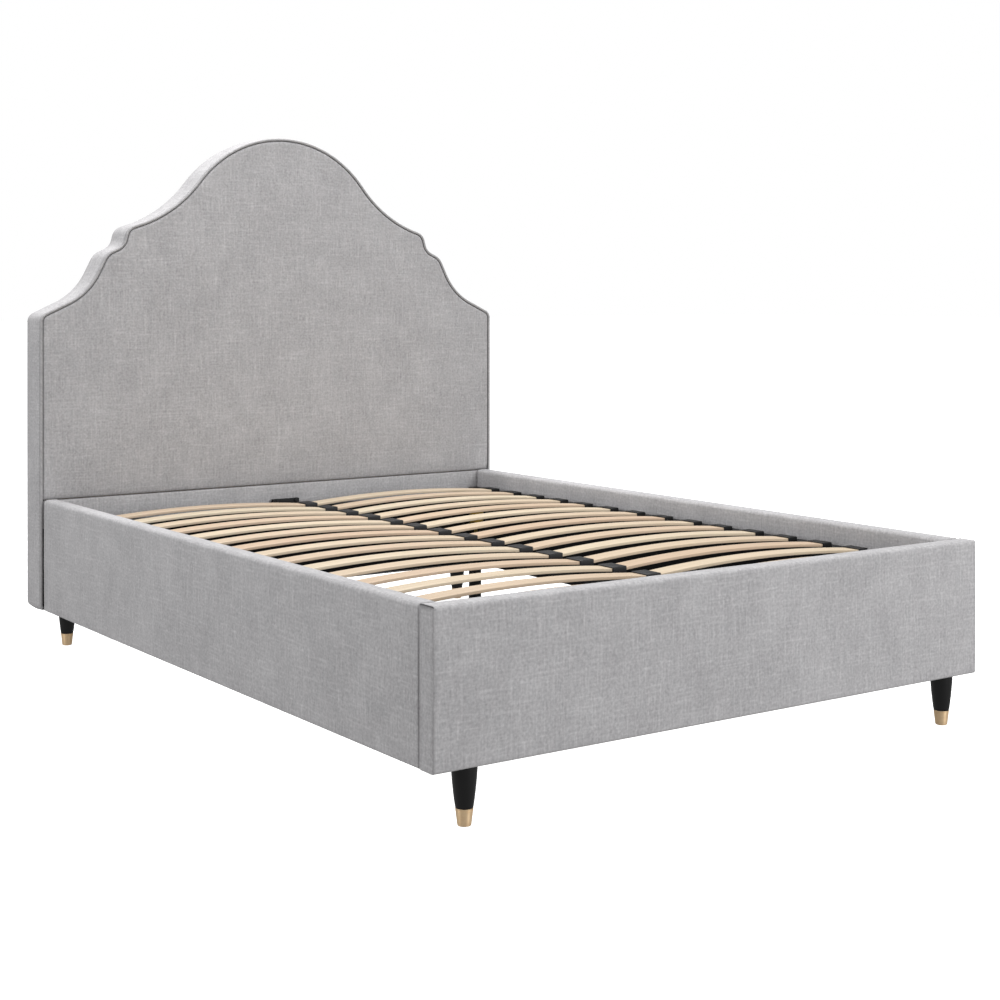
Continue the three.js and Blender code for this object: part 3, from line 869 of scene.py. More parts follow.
@dataclass
class Headboard:
    """Foam and cloth over a shaped board, with a piped front edge and a banded side."""

    finishes: Finishes
    piping_radius: float = 4.1 * MM
    piping_proud: float = 0.2 * MM
    pad_inset: float = 8.4 * MM
    pad_roll: float = 9 * MM
    pad_edge_depth: float = 7 * MM
    pad_crown: float = 6 * MM
    crown_reach: float = 38 * MM
    rim_reach: float = 12 * MM
    pad_waves: float = 0.7 * MM
    band_bulge: float = 3 * MM
    band_back_radius: float = 26 * MM
    wrap_inset: float = 29.5 * MM
    cloth_skin: float = 1 * MM
    dust_inset: float = 17.5 * MM
    lining_top: float = 0.364
    bottom_tuck: float = 6 * MM
    tuck_reach: float = 18 * MM
    rim_shade_reach: float = 1.4 * MM
    pad_middle: float = 0.86
    band_front: float = 8.3 * MM
    board_inset: float = 7.2 * MM

    def __post_init__(self) -> None:
        """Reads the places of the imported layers."""
        band = Box.of("headboard_border")
        self.front = Box.of("headboard_piping").low[1]
        self.back = Box.of("headboard_back_panel").high[1]
        self.pad = Box.of("headboard_pad")
        self.lower = Box.of("headboard_lower_panel")
        self.edge = HeadboardEdge(band.high[0], band.high[2], band.low[2])

    def build(self) -> list[Piece]:
        """Makes every outer layer of the headboard."""
        front = [self.make_pad(), self.make_lower_panel(), self.make_piping()]
        return [*front, self.make_band(), self.make_back_board(), *self.make_back()]

    def make_pad(self) -> Piece:
        """The padded front above the seam.

        Rings run from the sewn edge to the middle. The foam rolls over at the edge as a quarter
        ellipse. Further in it rises to its crown, held down by every part of the edge by an
        amount that fades exponentially with distance, so that no crease forms where two sides
        are equally near.
        """
        low = self.pad.low[2] - 1.4 * MM - self.pad_inset
        edge = HeadboardEdge(self.edge.half_width, self.edge.apex, low, 12 * MM)
        near = self.pad_roll * (1 - np.cos(np.linspace(0, math.pi / 2, 9)))
        insets = np.concatenate([near, self.pad_roll + np.array([3, 7, 12]) * MM])
        exact = np.stack([edge.loop(self.pad_inset + inset) for inset in insets])
        middle = np.array([0.0, self.pad_middle])
        share = np.linspace(1, 0, 44)[1:-1, None, None]
        flat = np.concatenate([exact, middle + share * (exact[-1] - middle)])
        rim = edge.loop(self.pad_inset)
        weight = np.linalg.norm(np.roll(rim, -1, axis=0) - rim, axis=1) / self.crown_reach
        gaps = [np.linalg.norm(ring[:, None] - rim[None], axis=2) for ring in flat]
        hold = np.stack([np.exp(-gap / self.crown_reach) @ weight for gap in gaps])
        nearest = np.stack([gap.min(axis=1) for gap in gaps])
        nearest[: len(insets)] = insets[:, None]
        turned = 1 - np.clip(nearest / self.pad_roll, 0, 1)
        settle = np.exp(-1.5 * hold) * (1 - np.exp(-nearest / self.rim_reach))
        rise = self.pad_edge_depth * np.sqrt(1 - turned**2) + self.pad_crown * settle
        rise = rise + settle * waviness(flat[..., 0], flat[..., 1], self.pad_waves, 0.46)
        above = flat[..., 1] - low - self.pad_inset
        tuck = self.bottom_tuck * np.exp(-above / self.tuck_reach)
        depth = self.front + self.pad_edge_depth - rise + tuck
        face = np.stack([flat[..., 0], depth, flat[..., 1]], axis=2)
        behind = edge.ring(self.pad_inset, self.pad.high[1])[None]
        # Painted shade in the groove at the rim: the seam value fades inwards from the rim, weaker along the
        # tucked bottom, and is full on the hidden ring behind.
        seam = 0.65 * np.exp(-((nearest[::-1] / self.rim_shade_reach) ** 2))
        seam = seam * (1 - 0.6 * tuck[::-1] / self.bottom_tuck)
        seam = np.concatenate([seam, np.ones((1, len(rim)))])
        rings = np.concatenate([face[::-1], behind])
        piece = Surface().add_rings(rings, seam=seam).finish("padded_front", [self.finishes.linen])
        return place_piece(piece, Slot.LINEN, "headboard_pad")

    def make_lower_panel(self) -> Piece:
        """The thin panel below the seam, cloth at the top and black lining under the slat frame."""
        low, high = self.lower.low, self.lower.high
        half = np.array([(high[0] - low[0]) / 2, (high[2] - low[2]) / 2 + 0.4 * MM])
        radii = np.array([6, 6, 11, 11]) * MM
        core, thickness = half.min() * 0.98, high[1] - low[1]
        steps = [(core, 0.0), (high[2] - self.lining_top, 0.0), (40 * MM, 0.0), (5 * MM, 0.0)]
        steps += [(2.5 * MM, 0.4 * MM), (1 * MM, 1.6 * MM), (0.0, 4 * MM)]
        steps += [(0.0, thickness), (core, thickness)]
        rings = []
        for inset, depth in steps:
            loop = rounded_loop(half[0] - inset, half[1] - inset, radii - inset, 4, (40, 12))
            place = [loop[:, 0], np.full(len(loop), low[1] + depth), self.lower.middle[2] + loop[:, 1]]
            rings.append(np.stack(place, axis=1))
        surface = Surface().add_rings(np.stack(rings))
        piece = surface.finish("lower_panel", [self.finishes.linen, self.finishes.lining])
        paint_below(piece, self.lining_top, 1)
        return place_piece(piece, Slot.LINEN, "headboard_lower_panel")

    def make_piping(self) -> Piece:
        """The piping cord: a circle carried round the outline, open at the two bottom corners."""
        radius = self.piping_radius
        angles = np.linspace(0, 2 * math.pi, 17)[:-1]
        # Painted shade on the cord's inner side beside the pad and at its back beside the band, where the
        # grooves are.
        beside_pad = 0.8 * np.exp(-(((angles - 0.97 * math.pi) / 0.42) ** 2))
        beside_band = 0.5 * np.exp(-(((angles - 0.10 * math.pi) / 0.35) ** 2))
        right, _ = self.edge.half(0.0)
        side_end = np.flatnonzero(right[:, 0] > self.edge.half_width - 4 * MM)[-1]
        count = len(self.edge.loop(0.0))
        order = np.concatenate([np.arange(count - side_end, count), np.arange(0, side_end + 1)])
        rows = []
        for angle in angles:
            inset = radius * (1 - math.cos(angle)) - self.piping_proud
            ring = self.edge.ring(inset, self.front + radius * (1 + math.sin(angle)) - self.piping_proud)
            rows.append(ring[order])
        rings = np.stack(rows, axis=1)
        walked = path_length(rings[:, 0])
        girth = np.arange(len(angles) + 1) * 2 * math.pi * radius / len(angles)
        flat_map = np.stack(np.broadcast_arrays(girth[None, :], walked[:, None]), axis=2)
        seam = np.maximum(beside_pad, beside_band)[None, :]
        surface = Surface().add_rings(rings, flat_map=flat_map, seam=seam)
        piece = surface.finish("piping_cord", [self.finishes.piping])
        return place_piece(piece, Slot.PIPING, "headboard_piping")

    def make_band(self) -> Piece:
        """The cloth band round the side, bulged by its padding and wrapped onto the back.

        Its section is a chain of (inset, depth) points that closes on itself: out from the piping,
        along the side as a shallow sine bulge, round the back edge as a quarter circle, over the back,
        and home again one cloth thickness inside.
        """
        front, back = self.front + self.band_front, self.back + 0.3 * MM + self.cloth_skin
        radius = self.band_back_radius
        side = np.linspace(0, 1, 9)
        turn = np.linspace(0, math.pi / 2, 7)
        outer = [np.array([[4.5 * MM, front], [2.2 * MM, front + 0.6 * MM], [0.9 * MM, front + 2.6 * MM]])]
        start, stop = front + 7 * MM, back - radius
        bulge = 0.2 * MM - self.band_bulge * np.sin(math.pi * side) ** 0.8
        outer.append(np.stack([bulge, start + (stop - start) * side], axis=1))
        corner = np.stack([radius * (1 - np.cos(turn)), back - radius + radius * np.sin(turn)], axis=1)
        outer.append(corner[1:])
        outer.append(np.array([[self.wrap_inset - 1 * MM, back]]))
        inner = np.array(
            [
                [self.wrap_inset, back - self.cloth_skin / 2],
                [self.wrap_inset - 1 * MM, back - self.cloth_skin],
                [radius, back - self.cloth_skin],
            ]
        )
        lining = radius - (radius - self.cloth_skin) * np.stack([np.sin(turn), -np.cos(turn)], axis=1)
        lining[:, 1] += back - 2 * radius
        home = np.array([[self.cloth_skin, stop], [6.0 * MM, start], [6.0 * MM, front + 1 * MM]])
        section = np.concatenate([*outer, inner, lining[1:-1], home])
        rings = np.stack([self.edge.ring(inset, depth) for inset, depth in section])
        walked = path_length(np.concatenate([rings[8], rings[8][:1]]))
        reach = path_length(np.column_stack([section, np.zeros(len(section))]))
        flat_map = np.stack(np.broadcast_arrays(reach[:, None], walked[None, :]), axis=2)
        flat_map = np.concatenate([flat_map, flat_map[:1]])
        # Painted shade along the band's front edge where it tucks under the piping.
        seam = np.zeros((len(section), 1))
        seam[:3, 0] = (0.7, 0.45, 0.12)
        surface = Surface().add_rings(rings, closed_path=True, flat_map=flat_map, seam=seam)
        piece = surface.finish("side_band", [self.finishes.linen], sharp=60)
        return place_piece(piece, Slot.LINEN, "headboard_border")

    def make_back_board(self) -> Piece:
        """The board behind the dust cloth, planed round along its back edge under the band."""
        board = Box.of("headboard_back_panel")
        front, back = board.low[1], board.high[1]
        inset, wrap = self.board_inset, self.wrap_inset
        radius = self.band_back_radius - inset
        turn = np.linspace(0, math.pi / 2, 7)
        corner = np.stack([inset + radius * (1 - np.cos(turn)), back - radius * (1 - np.sin(turn))], axis=1)
        chain = np.concatenate([[[wrap, front], [inset, front]], corner, [[wrap, back]]])
        rings = np.stack([self.edge.ring(i, depth) for i, depth in chain])
        piece = Surface().add_rings(rings).finish("back_board", [self.finishes.plywood])
        return place_piece(piece, Slot.PLYWOOD, "headboard_back_panel")

    def make_back(self) -> list[Piece]:
        """The dust cloth over the back, with a folded hem and a row of staples round it."""
        skin = self.back + 0.3 * MM + self.cloth_skin + 0.1 * MM
        inset = self.dust_inset
        steps = [(inset + 1 * MM, 0.0), (inset, 0.7 * MM), (inset + 1 * MM, 1.6 * MM)]
        steps += [(inset + 9 * MM, 1.6 * MM), (inset + 10.5 * MM, 0.8 * MM)]
        hem = np.stack([self.edge.ring(i, skin + rise) for i, rise in steps])
        middle = np.array([0.0, skin + 0.8 * MM, 0.7])
        share = np.linspace(1, 0, 24)[1:-1, None, None]
        inner = middle + share * (hem[-1] - middle)
        settle = 1 - share[..., 0]
        inner[..., 1] = skin + 0.8 * MM - 0.4 * MM * settle + np.minimum(settle * 3, 1) * waviness(
            inner[..., 0], inner[..., 2], 0.3 * MM, 0.35
        )
        front = self.edge.ring(inset + 12 * MM, skin)
        rings = np.concatenate([front[None], hem, inner])
        cloth = Surface().add_rings(rings).finish("dust_cloth", [self.finishes.dust_cloth])
        place_piece(cloth, Slot.DUST_CLOTH)
        return [cloth, self.make_staples(skin + 1.6 * MM)]

    def make_staples(self, back: float) -> Piece:
        """Steel staples along the hem of the dust cloth: a bent bar at every even step of the edge."""
        pitch, half, wire, proud = 60 * MM, 5 * MM, 0.6 * MM, 0.7 * MM
        right, slopes = self.edge.half(self.dust_inset + 5 * MM)
        walked = path_length(np.column_stack([right, np.zeros(len(right))]))
        stations = np.arange(pitch / 2, walked[-1], pitch)
        centre = np.stack([np.interp(stations, walked, right[:, i]) for i in (0, 1)], axis=1)
        slope = np.interp(stations, walked, slopes)
        centre = np.concatenate([centre, centre * np.array([-1.0, 1.0])])
        slope = np.concatenate([slope, -slope])
        surface = Surface()
        loop = rounded_loop(wire, wire / 2, [0.2 * MM] * 4, 1, (1, 1))
        path = np.array([[-half, -0.6 * MM], [-half, proud], [half, proud], [half, -0.6 * MM]])
        path[1:3, 0] *= 0.97
        for (x, z), angle in zip(centre, slope):
            along = np.array([math.cos(angle), 0.0, -math.sin(angle)])
            across = np.array([math.sin(angle), 0.0, math.cos(angle)])
            out = np.array([0.0, 1.0, 0.0])
            place = np.array([x, back, z])
            spine = place + path[:, :1] * along + path[:, 1:] * out
            lift = np.array([along, out, out, along])
            rings = spine[:, None] + loop[None, :, :1] * across + loop[None, :, 1:] * lift[:, None]
            surface.add_rings(rings)
        piece = surface.finish("dust_cloth_staples", [self.finishes.bright])
        return place_piece(piece, Slot.BLACK_STEEL)


def path_length(points: Array) -> Array:
    """Distance walked along a chain of points, from zero at the first."""
    steps = np.linalg.norm(np.diff(points, axis=0), axis=1)
    return np.concatenate([[0.0], np.cumsum(steps)])


def paint_below(piece: Piece, height: float, number: int, facing: Array | None = None) -> None:
    """Gives a material to the faces below a height, and only those that face one way if it is given."""
    mesh = piece.data
    centres = np.empty(len(mesh.polygons) * 3)
    normals = np.empty(len(mesh.polygons) * 3)
    mesh.polygons.foreach_get("center", centres)
    mesh.polygons.foreach_get("normal", normals)
    paints = np.empty(len(mesh.polygons), dtype=int)
    mesh.polygons.foreach_get("material_index", paints)
    chosen = centres.reshape(-1, 3)[:, 2] < height
    if facing is not None:
        chosen &= normals.reshape(-1, 3) @ facing > 0.7
    paints[chosen] = number
    mesh.polygons.foreach_set("material_index", paints)


# ----------------------------------------------------------------------------------------------
# Padded rails and footboard
# ----------------------------------------------------------------------------------------------


@dataclass
class PaddedRail:
    """Foam and cloth wrapped round a board: one rounded section carried along a straight line.

    The section's first axis points outwards from the bed and its second axis points up.
    """

    finishes: Finishes
    name: str
    node: str
    along: Array
    outward: Array
    top_radius: float = 11 * MM
    bottom_radius: float = 7 * MM
    bulge: float = 1.6 * MM
    waves: float = 0.5 * MM
    end_radius: float = 3.5 * MM
    end_shade: float = 0.2
    sewn_end: bool = False
    station_step: float = 36 * MM
    lining_top: float = 0.388

    def build(self) -> Piece:
        """Makes the cover from rings of its section."""
        box = Box.of(self.node)
        self.middle = box.middle
        size = box.high - box.low
        self.half_length = float(np.abs(self.along) @ size) / 2
        self.half_depth = float(np.abs(self.outward) @ size) / 2
        self.half_height = float(size[2]) / 2
        rings = np.stack([self.ring(place, inset) for place, inset in self.stations()])
        cloth, lining = self.finishes.linen, self.finishes.lining
        # Painted shade in the end joints and along the sewn end's edges, carried as the seam value.
        seam = np.stack([self.shade(ring) for ring in rings])
        piece = Surface().add_rings(rings, seam=seam).finish(self.name, [cloth, lining])
        paint_below(piece, self.lining_top, 1, -self.outward)
        return place_piece(piece, Slot.LINEN, self.node)

    def stations(self) -> list[tuple[float, float]]:
        """Places along the rail with the section's inset at each, from one end to the other."""
        half, radius = self.half_length, self.end_radius
        turn = np.linspace(math.pi / 2, 0, 5)
        end = [(half, self.half_depth * 0.96), (half, self.half_depth * 0.5)]
        end += [(half - radius * (1 - math.sin(a)), radius * (1 - math.cos(a))) for a in turn]
        end += [(half - offset * MM, 0.0) for offset in (5, 8, 12, 16, 22)]
        inner = end[-1][0]
        count = max(3, round(2 * inner / self.station_step))
        middle = [(float(place), 0.0) for place in np.linspace(inner, -inner, count + 1)[1:-1]]
        return end + middle + [(-place, inset) for place, inset in reversed(end)]

    def shade(self, points: Array) -> Array:
        """Painted shade on the cloth at some points: in the joints at its ends, and for a sewn end also
        at its outer corners and along its top end edges.
        """
        local = points - self.middle
        gap = self.half_length - np.abs(local @ self.along)
        out, up = local @ self.outward, local[:, 2]
        joint = self.end_shade * np.exp(-((gap / (5 * MM)) ** 2))
        if not self.sewn_end:
            return joint
        across = np.hypot(gap, out + self.half_depth)
        joint = self.end_shade * np.exp(-((across / (6 * MM)) ** 2))
        corner = 0.7 * self.end_shade * np.exp(-((np.hypot(gap, self.half_depth - out) / (6 * MM)) ** 2))
        # Painted shade along the top end edge, where a sewn line's groove would lie in shadow.
        sewn = np.exp(-(((gap - 1.0 * MM) / (1.8 * MM)) ** 2))
        sewn = sewn * np.clip((up - self.half_height + 5 * MM) / (3 * MM), 0, 1)
        return np.maximum(np.maximum(joint, corner), sewn)

    def ring(self, place: float, inset: float) -> Array:
        """The section at one place along the rail.

        The outer face bulges by a half cosine over its height, and carries the cloth's slack. A sewn
        end is squarer, so the top radius shrinks towards it.
        """
        ease = min(1.0, (self.half_length - abs(place)) / (24 * MM)) if self.sewn_end else 1.0
        top, bottom = self.top_radius * (0.4 + 0.6 * ease) - inset, self.bottom_radius - inset
        radii = [top, top, bottom, bottom]
        half_depth, half_height = self.half_depth - inset, self.half_height - inset
        loop = rounded_loop(half_depth, half_height, radii, 6, (5, 16))
        out, up = loop[:, 0], loop[:, 1]
        swell = np.cos(math.pi * up / (2 * self.half_height)) * np.clip(out / self.half_depth, 0, 1)
        slack = waviness(np.full(len(up), place), up, self.waves, 0.41)
        taper = min(1.0, (self.half_length - abs(place)) / (60 * MM))
        out = out + swell * (self.bulge * (0.6 + 0.4 * taper) + slack * taper)
        spot = self.middle + place * self.along
        return spot + out[:, None] * self.outward + up[:, None] * np.array([0.0, 0.0, 1.0])


@dataclass
class Base:
    """The two side rails and the footboard."""

    finishes: Finishes

    def build(self) -> list[Piece]:
        """Makes the three covers."""
        across, lengthways = np.array([1.0, 0.0, 0.0]), np.array([0.0, 1.0, 0.0])
        pieces = []
        for side in Side:
            node = f"side_rail_cover_{side.label}"
            name = f"padded_rail_{side.label}"
            pieces.append(PaddedRail(self.finishes, name, node, lengthways, across * side.value).build())
        foot = PaddedRail(
            self.finishes,
            "padded_footboard",
            "footboard_cover",
            across,
            -lengthways,
            top_radius=12 * MM,
            end_radius=3 * MM,
            sewn_end=True,
        )
        pieces.append(foot.build())
        return pieces


# ----------------------------------------------------------------------------------------------
# Slat frame
# ----------------------------------------------------------------------------------------------


@dataclass
class SlatDeck:
    """Two columns of bent slats in moulded holders on a frame of black steel tube."""

    finishes: Finishes
    rows: int = 15
    slat_thickness: float = 8 * MM
    slat_edge: float = 1.8 * MM
    slat_stations: int = 26
    wall: float = 1.5 * MM
    tube_corner: float = 2.5 * MM
    tube_width: float = 36 * MM
    tube_height: float = 30 * MM
    holder_height: float = 16.9 * MM
    holder_half_y: float = 30 * MM
    holder_corner: float = 2.4 * MM
    pocket: tuple[float, float] = (26.8 * MM, 5.8 * MM)
    side_holder: tuple[float, float, float] = (698 * MM, 718 * MM, 730 * MM)  # mouth, pocket's end, back

    def build(self) -> list[Piece]:
        """Makes the slats, the holders and the tubes."""
        pieces = [self.make_slat(side, row) for row in range(1, self.rows + 1) for side in Side]
        pieces += [self.make_centre_holders(), *[self.make_side_holders(side) for side in Side]]
        pieces += [self.make_long_tube(f"slat_bar_{place}") for place in ("left", "right", "centre")]
        pieces += [self.make_cross_tube(f"slat_frame_{place}_bar") for place in ("head", "foot")]
        pieces += [self.make_hanger(), self.make_support()]
        return pieces

    def row_places(self) -> list[float]:
        """The Y of every row of slats."""
        return [float(Box.of(f"slat_right_{row:02d}").middle[1]) for row in range(1, self.rows + 1)]

    def make_slat(self, side: Side, row: int) -> Piece:
        """One slat: a flat section with rounded edges whose height follows a parabola.

        The rise is the bow times one less the square of the place, which runs from -1 to 1.
        """
        node = f"slat_{side.label}_{row:02d}"
        box = Box.of(node)
        size = box.high - box.low
        thickness, edge = self.slat_thickness, self.slat_edge
        bow = size[2] - thickness
        half = size[0] / 2
        loop = rounded_loop(size[1] / 2, thickness / 2, [edge] * 4, 3, (5, 4))
        small = rounded_loop(size[1] / 2 - 1 * MM, thickness / 2 - 1 * MM, [edge - 1 * MM] * 4, 3, (5, 4))
        share = np.sin(np.linspace(-math.pi / 2, math.pi / 2, self.slat_stations))
        share = 0.55 * share + 0.45 * np.linspace(-1, 1, self.slat_stations)
        share = np.concatenate([[-1.0], share * (1 - 1 * MM / half), [1.0]])
        sections = [small] + [loop] * self.slat_stations + [small]
        height = box.low[2] + thickness / 2 + bow * (1 - share**2)
        x, y = box.middle[0], box.middle[1]
        stations = zip(sections, share, height)
        rings = [stand_across(section, x + half * place, y, z) for section, place, z in stations]
        piece = Surface().add_rings(np.stack(rings)).finish(f"bent_{node}", [self.finishes.beech])
        places = vertices_of(piece)
        along = (places[:, 0] - box.middle[0]) / half
        base = box.low[2] + bow * (1 - along**2)
        add_value(piece, "ply", np.clip((places[:, 2] - base) / thickness, 0, 1))
        tone = (row * 0.618034 + (0.37 if side is Side.LEFT else 0.0)) % 1.0
        add_value(piece, "tone", np.full(len(places), tone))
        return place_piece(piece, Slot.BEECH, node)

    def block_rings(self, chain: Sequence[tuple], middle: Array, radius: float) -> Array:
        """Rounded rectangles that stand across X, from a chain of (X, half of Y, half of Z)."""
        rings = []
        for x, y, z in chain:
            loop = rounded_loop(y, z, [min(radius, y, z)] * 4, 4, (2, 2))
            rings.append(stand_across(loop, x, middle[1], middle[2]))
        return np.stack(rings)

    def holder_middle(self, y: float) -> Array:
        """The middle of a holder in its row."""
        bar = Box.of("slat_bar_centre")
        return np.array([0.0, y, bar.high[2] - self.holder_height / 2])

    def make_holders(self, chain: Sequence[tuple], name: str, material: Material) -> Piece:
        """One holder in every row, each a sleeve on the same chain of sections."""
        surface = Surface()
        for y in self.row_places():
            surface.add_rings(self.block_rings(chain, self.holder_middle(y), self.holder_corner))
        return place_piece(surface.finish(name, [material]), Slot.HOLDER)

    def make_centre_holders(self) -> Piece:
        """The double holders: a sleeve open at both ends with a web in its middle."""
        bar = Box.of("slat_bar_centre")
        reach = bar.high[0]
        half_y, half_z = self.holder_half_y, self.holder_height / 2
        pocket_y, pocket_z = self.pocket
        half_chain = [
            (1.5 * MM, 0.5 * MM, 0.5 * MM),
            (1.5 * MM, pocket_y, pocket_z),
            (reach - 0.5 * MM, pocket_y, pocket_z),
            (reach, pocket_y + 0.8 * MM, pocket_z + 0.6 * MM),
            (reach - 0.2 * MM, half_y - 0.8 * MM, half_z - 0.6 * MM),
            (reach - 1.2 * MM, half_y, half_z),
        ]
        chain = half_chain + [(-x, y, z) for x, y, z in reversed(half_chain)]
        return self.make_holders(chain, "slat_holders_centre", self.finishes.nylon)

    def make_side_holders(self, side: Side) -> Piece:
        """The single holders: a sleeve open towards the slat and closed by the rail."""
        inner, pocket_end, outer = self.side_holder
        half_y, half_z = self.holder_half_y, self.holder_height / 2
        pocket_y, pocket_z = self.pocket
        chain = [
            (pocket_end, 0.5 * MM, 0.5 * MM),
            (pocket_end, pocket_y, pocket_z),
            (inner + 0.5 * MM, pocket_y, pocket_z),
            (inner, pocket_y + 0.8 * MM, pocket_z + 0.6 * MM),
            (inner + 0.2 * MM, half_y - 0.8 * MM, half_z - 0.6 * MM),
            (inner + 1.2 * MM, half_y, half_z),
            (outer - 3 * MM, half_y, half_z),
            (outer - 0.8 * MM, half_y - 0.8 * MM, half_z - 0.8 * MM),
            (outer, half_y - 3 * MM, half_z - 3 * MM),
        ]
        chain = [(x * side.value, y, z) for x, y, z in chain]
        return self.make_holders(chain, f"slat_holders_{side.label}", self.finishes.black_nylon)

    def tube_rings(self, width: float, height: float) -> tuple[Array, Array]:
        """The outer and the inner loop of a rectangular tube's section."""
        corner, wall = self.tube_corner, self.wall
        outer = rounded_loop(width / 2, height / 2, [corner] * 4, 4, (1, 1))
        inner = rounded_loop(width / 2 - wall, height / 2 - wall, [corner - wall] * 4, 4, (1, 1))
        return outer, inner

    def make_tube(self, node: str, middle: Array, along: Array, half_length: float, size: tuple) -> Piece:
        """A rectangular tube open at both ends, as outer and inner rings that close on each other."""
        across = np.array([abs(along[1]), abs(along[0]), 0.0])
        outer, inner = self.tube_rings(*size)
        rings = []
        for loop, place in ((outer, -1), (outer, 1), (inner, 1), (inner, -1)):
            spot = middle + place * half_length * along
            rings.append(spot + loop[:, :1] * across + loop[:, 1:] * UP)
        surface = Surface().add_rings(np.stack(rings), closed_path=True)
        return place_piece(surface.finish(f"tube_{node}", [self.finishes.steel]), Slot.BLACK_STEEL, node)

    def make_long_tube(self, node: str) -> Piece:
        """A tube along the bed under the slats' ends."""
        box = Box.of(node)
        centre = node.endswith("centre")
        width, height = self.tube_width, self.tube_width if centre else self.tube_height
        reach = 0.0 if centre else max(abs(box.low[0]), abs(box.high[0])) - width / 2
        middle = np.array([math.copysign(reach, box.middle[0]), box.middle[1], box.low[2] + height / 2])
        half = (box.high[1] - box.low[1]) / 2
        return self.make_tube(node, middle, np.array([0.0, 1.0, 0.0]), half, (width, height))

    def make_cross_tube(self, node: str) -> Piece:
        """A tube across the bed at the head or the foot."""
        box, size = Box.of(node), (self.tube_width, self.tube_height)
        middle = np.array([0.0, box.middle[1], box.low[2] + self.tube_height / 2])
        return self.make_tube(node, middle, np.array([1.0, 0.0, 0.0]), box.high[0], size)

    def make_hanger(self) -> Piece:
        """The plate on the head bar with its two hexagon bolts."""
        bar = Box.of("slat_frame_head_bar")
        half_x, half_y, half_z, bolt_z = 47.5 * MM, 7.5 * MM, 14 * MM, 397 * MM
        middle = np.array([0.0, bar.high[1] - 1 * MM - half_y, bar.high[2] - 4 * MM - half_z])
        end = [(half_x, half_y - 3 * MM, half_z - 3 * MM), (half_x, half_y - 0.8 * MM, half_z - 0.8 * MM)]
        end += [(half_x - 0.8 * MM, half_y, half_z)]
        chain = [(-x, y, z) for x, y, z in end] + end[::-1]
        surface = Surface().add_rings(self.block_rings(chain, middle, 1.5 * MM))
        washer = [(3.0, 0.0), (7.0, 0.0), (7.2, 0.5), (7.0, 1.0), (3.0, 1.0)]
        head = [(2.0, 0.9), (6.2, 0.9), (6.2, 4.0), (5.4, 4.8), (1.0, 4.8)]
        for side in Side:
            centre = np.array([side.value * 34 * MM, middle[1] - half_y, bolt_z])
            for corners, profile in ((24, washer), (6, head)):
                circle = circle_loop(1.0, corners)
                spread = stand_across(circle, 0.0, 0.0, 0.0)[:, [1, 0, 2]]
                rings = [spread * radius - np.array([0.0, out, 0.0]) for radius, out in profile]
                surface.add_rings(centre + np.stack(rings) * MM, paint=1)
        piece = surface.finish("head_bar_hanger", [self.finishes.steel, self.finishes.black_nylon])
        return place_piece(piece, Slot.BLACK_STEEL)

    def make_support(self) -> Piece:
        """The round post under the centre tube, with its moulded floor glide."""
        box = Box.of("support_leg")
        x, y, top = box.middle[0], box.middle[1], box.high[2] / MM
        post = [(0.5, top - 1), (15.0, top - 1), (15.0, top), (17.0, top), (17.0, 30), (17.0, 12.4)]
        glide = [(0.5, 15), (17.2, 16), (20.0, 15.4), (21.6, 13), (22.0, 10), (22.0, 2), (20.4, 0.2)]
        glide += [(18.0, 0), (0.5, 0)]
        surface = Surface().add_rings(turned_rings(post, x, y, 48))
        surface.add_rings(turned_rings(glide, x, y, 48), paint=1)
        piece = surface.finish("support_post", [self.finishes.steel, self.finishes.black_nylon])
        return place_piece(piece, Slot.BLACK_STEEL, "support_leg")


def turned_rings(profile: Sequence[tuple[float, float]], x: float, y: float, steps: int = 64) -> Array:
    """Rings of a turned piece about an upright axis.

    Args:
        profile: Pairs of radius and height in millimetres.
        x: Place of the axis in X.
        y: Place of the axis in Y.
        steps: Points round each ring.

    Returns:
        The rings, each a circle of its radius at its height.
    """
    circle = circle_loop(1.0, steps)
    radii = np.array([radius for radius, _ in profile])[:, None] * MM
    heights = np.array([height for _, height in profile])[:, None] * MM
    spread = np.ones((1, steps))
    return np.stack([x + circle[:, 0] * radii, y + circle[:, 1] * radii, heights * spread], axis=2)


# ----------------------------------------------------------------------------------------------
# Feet and brackets
# ----------------------------------------------------------------------------------------------


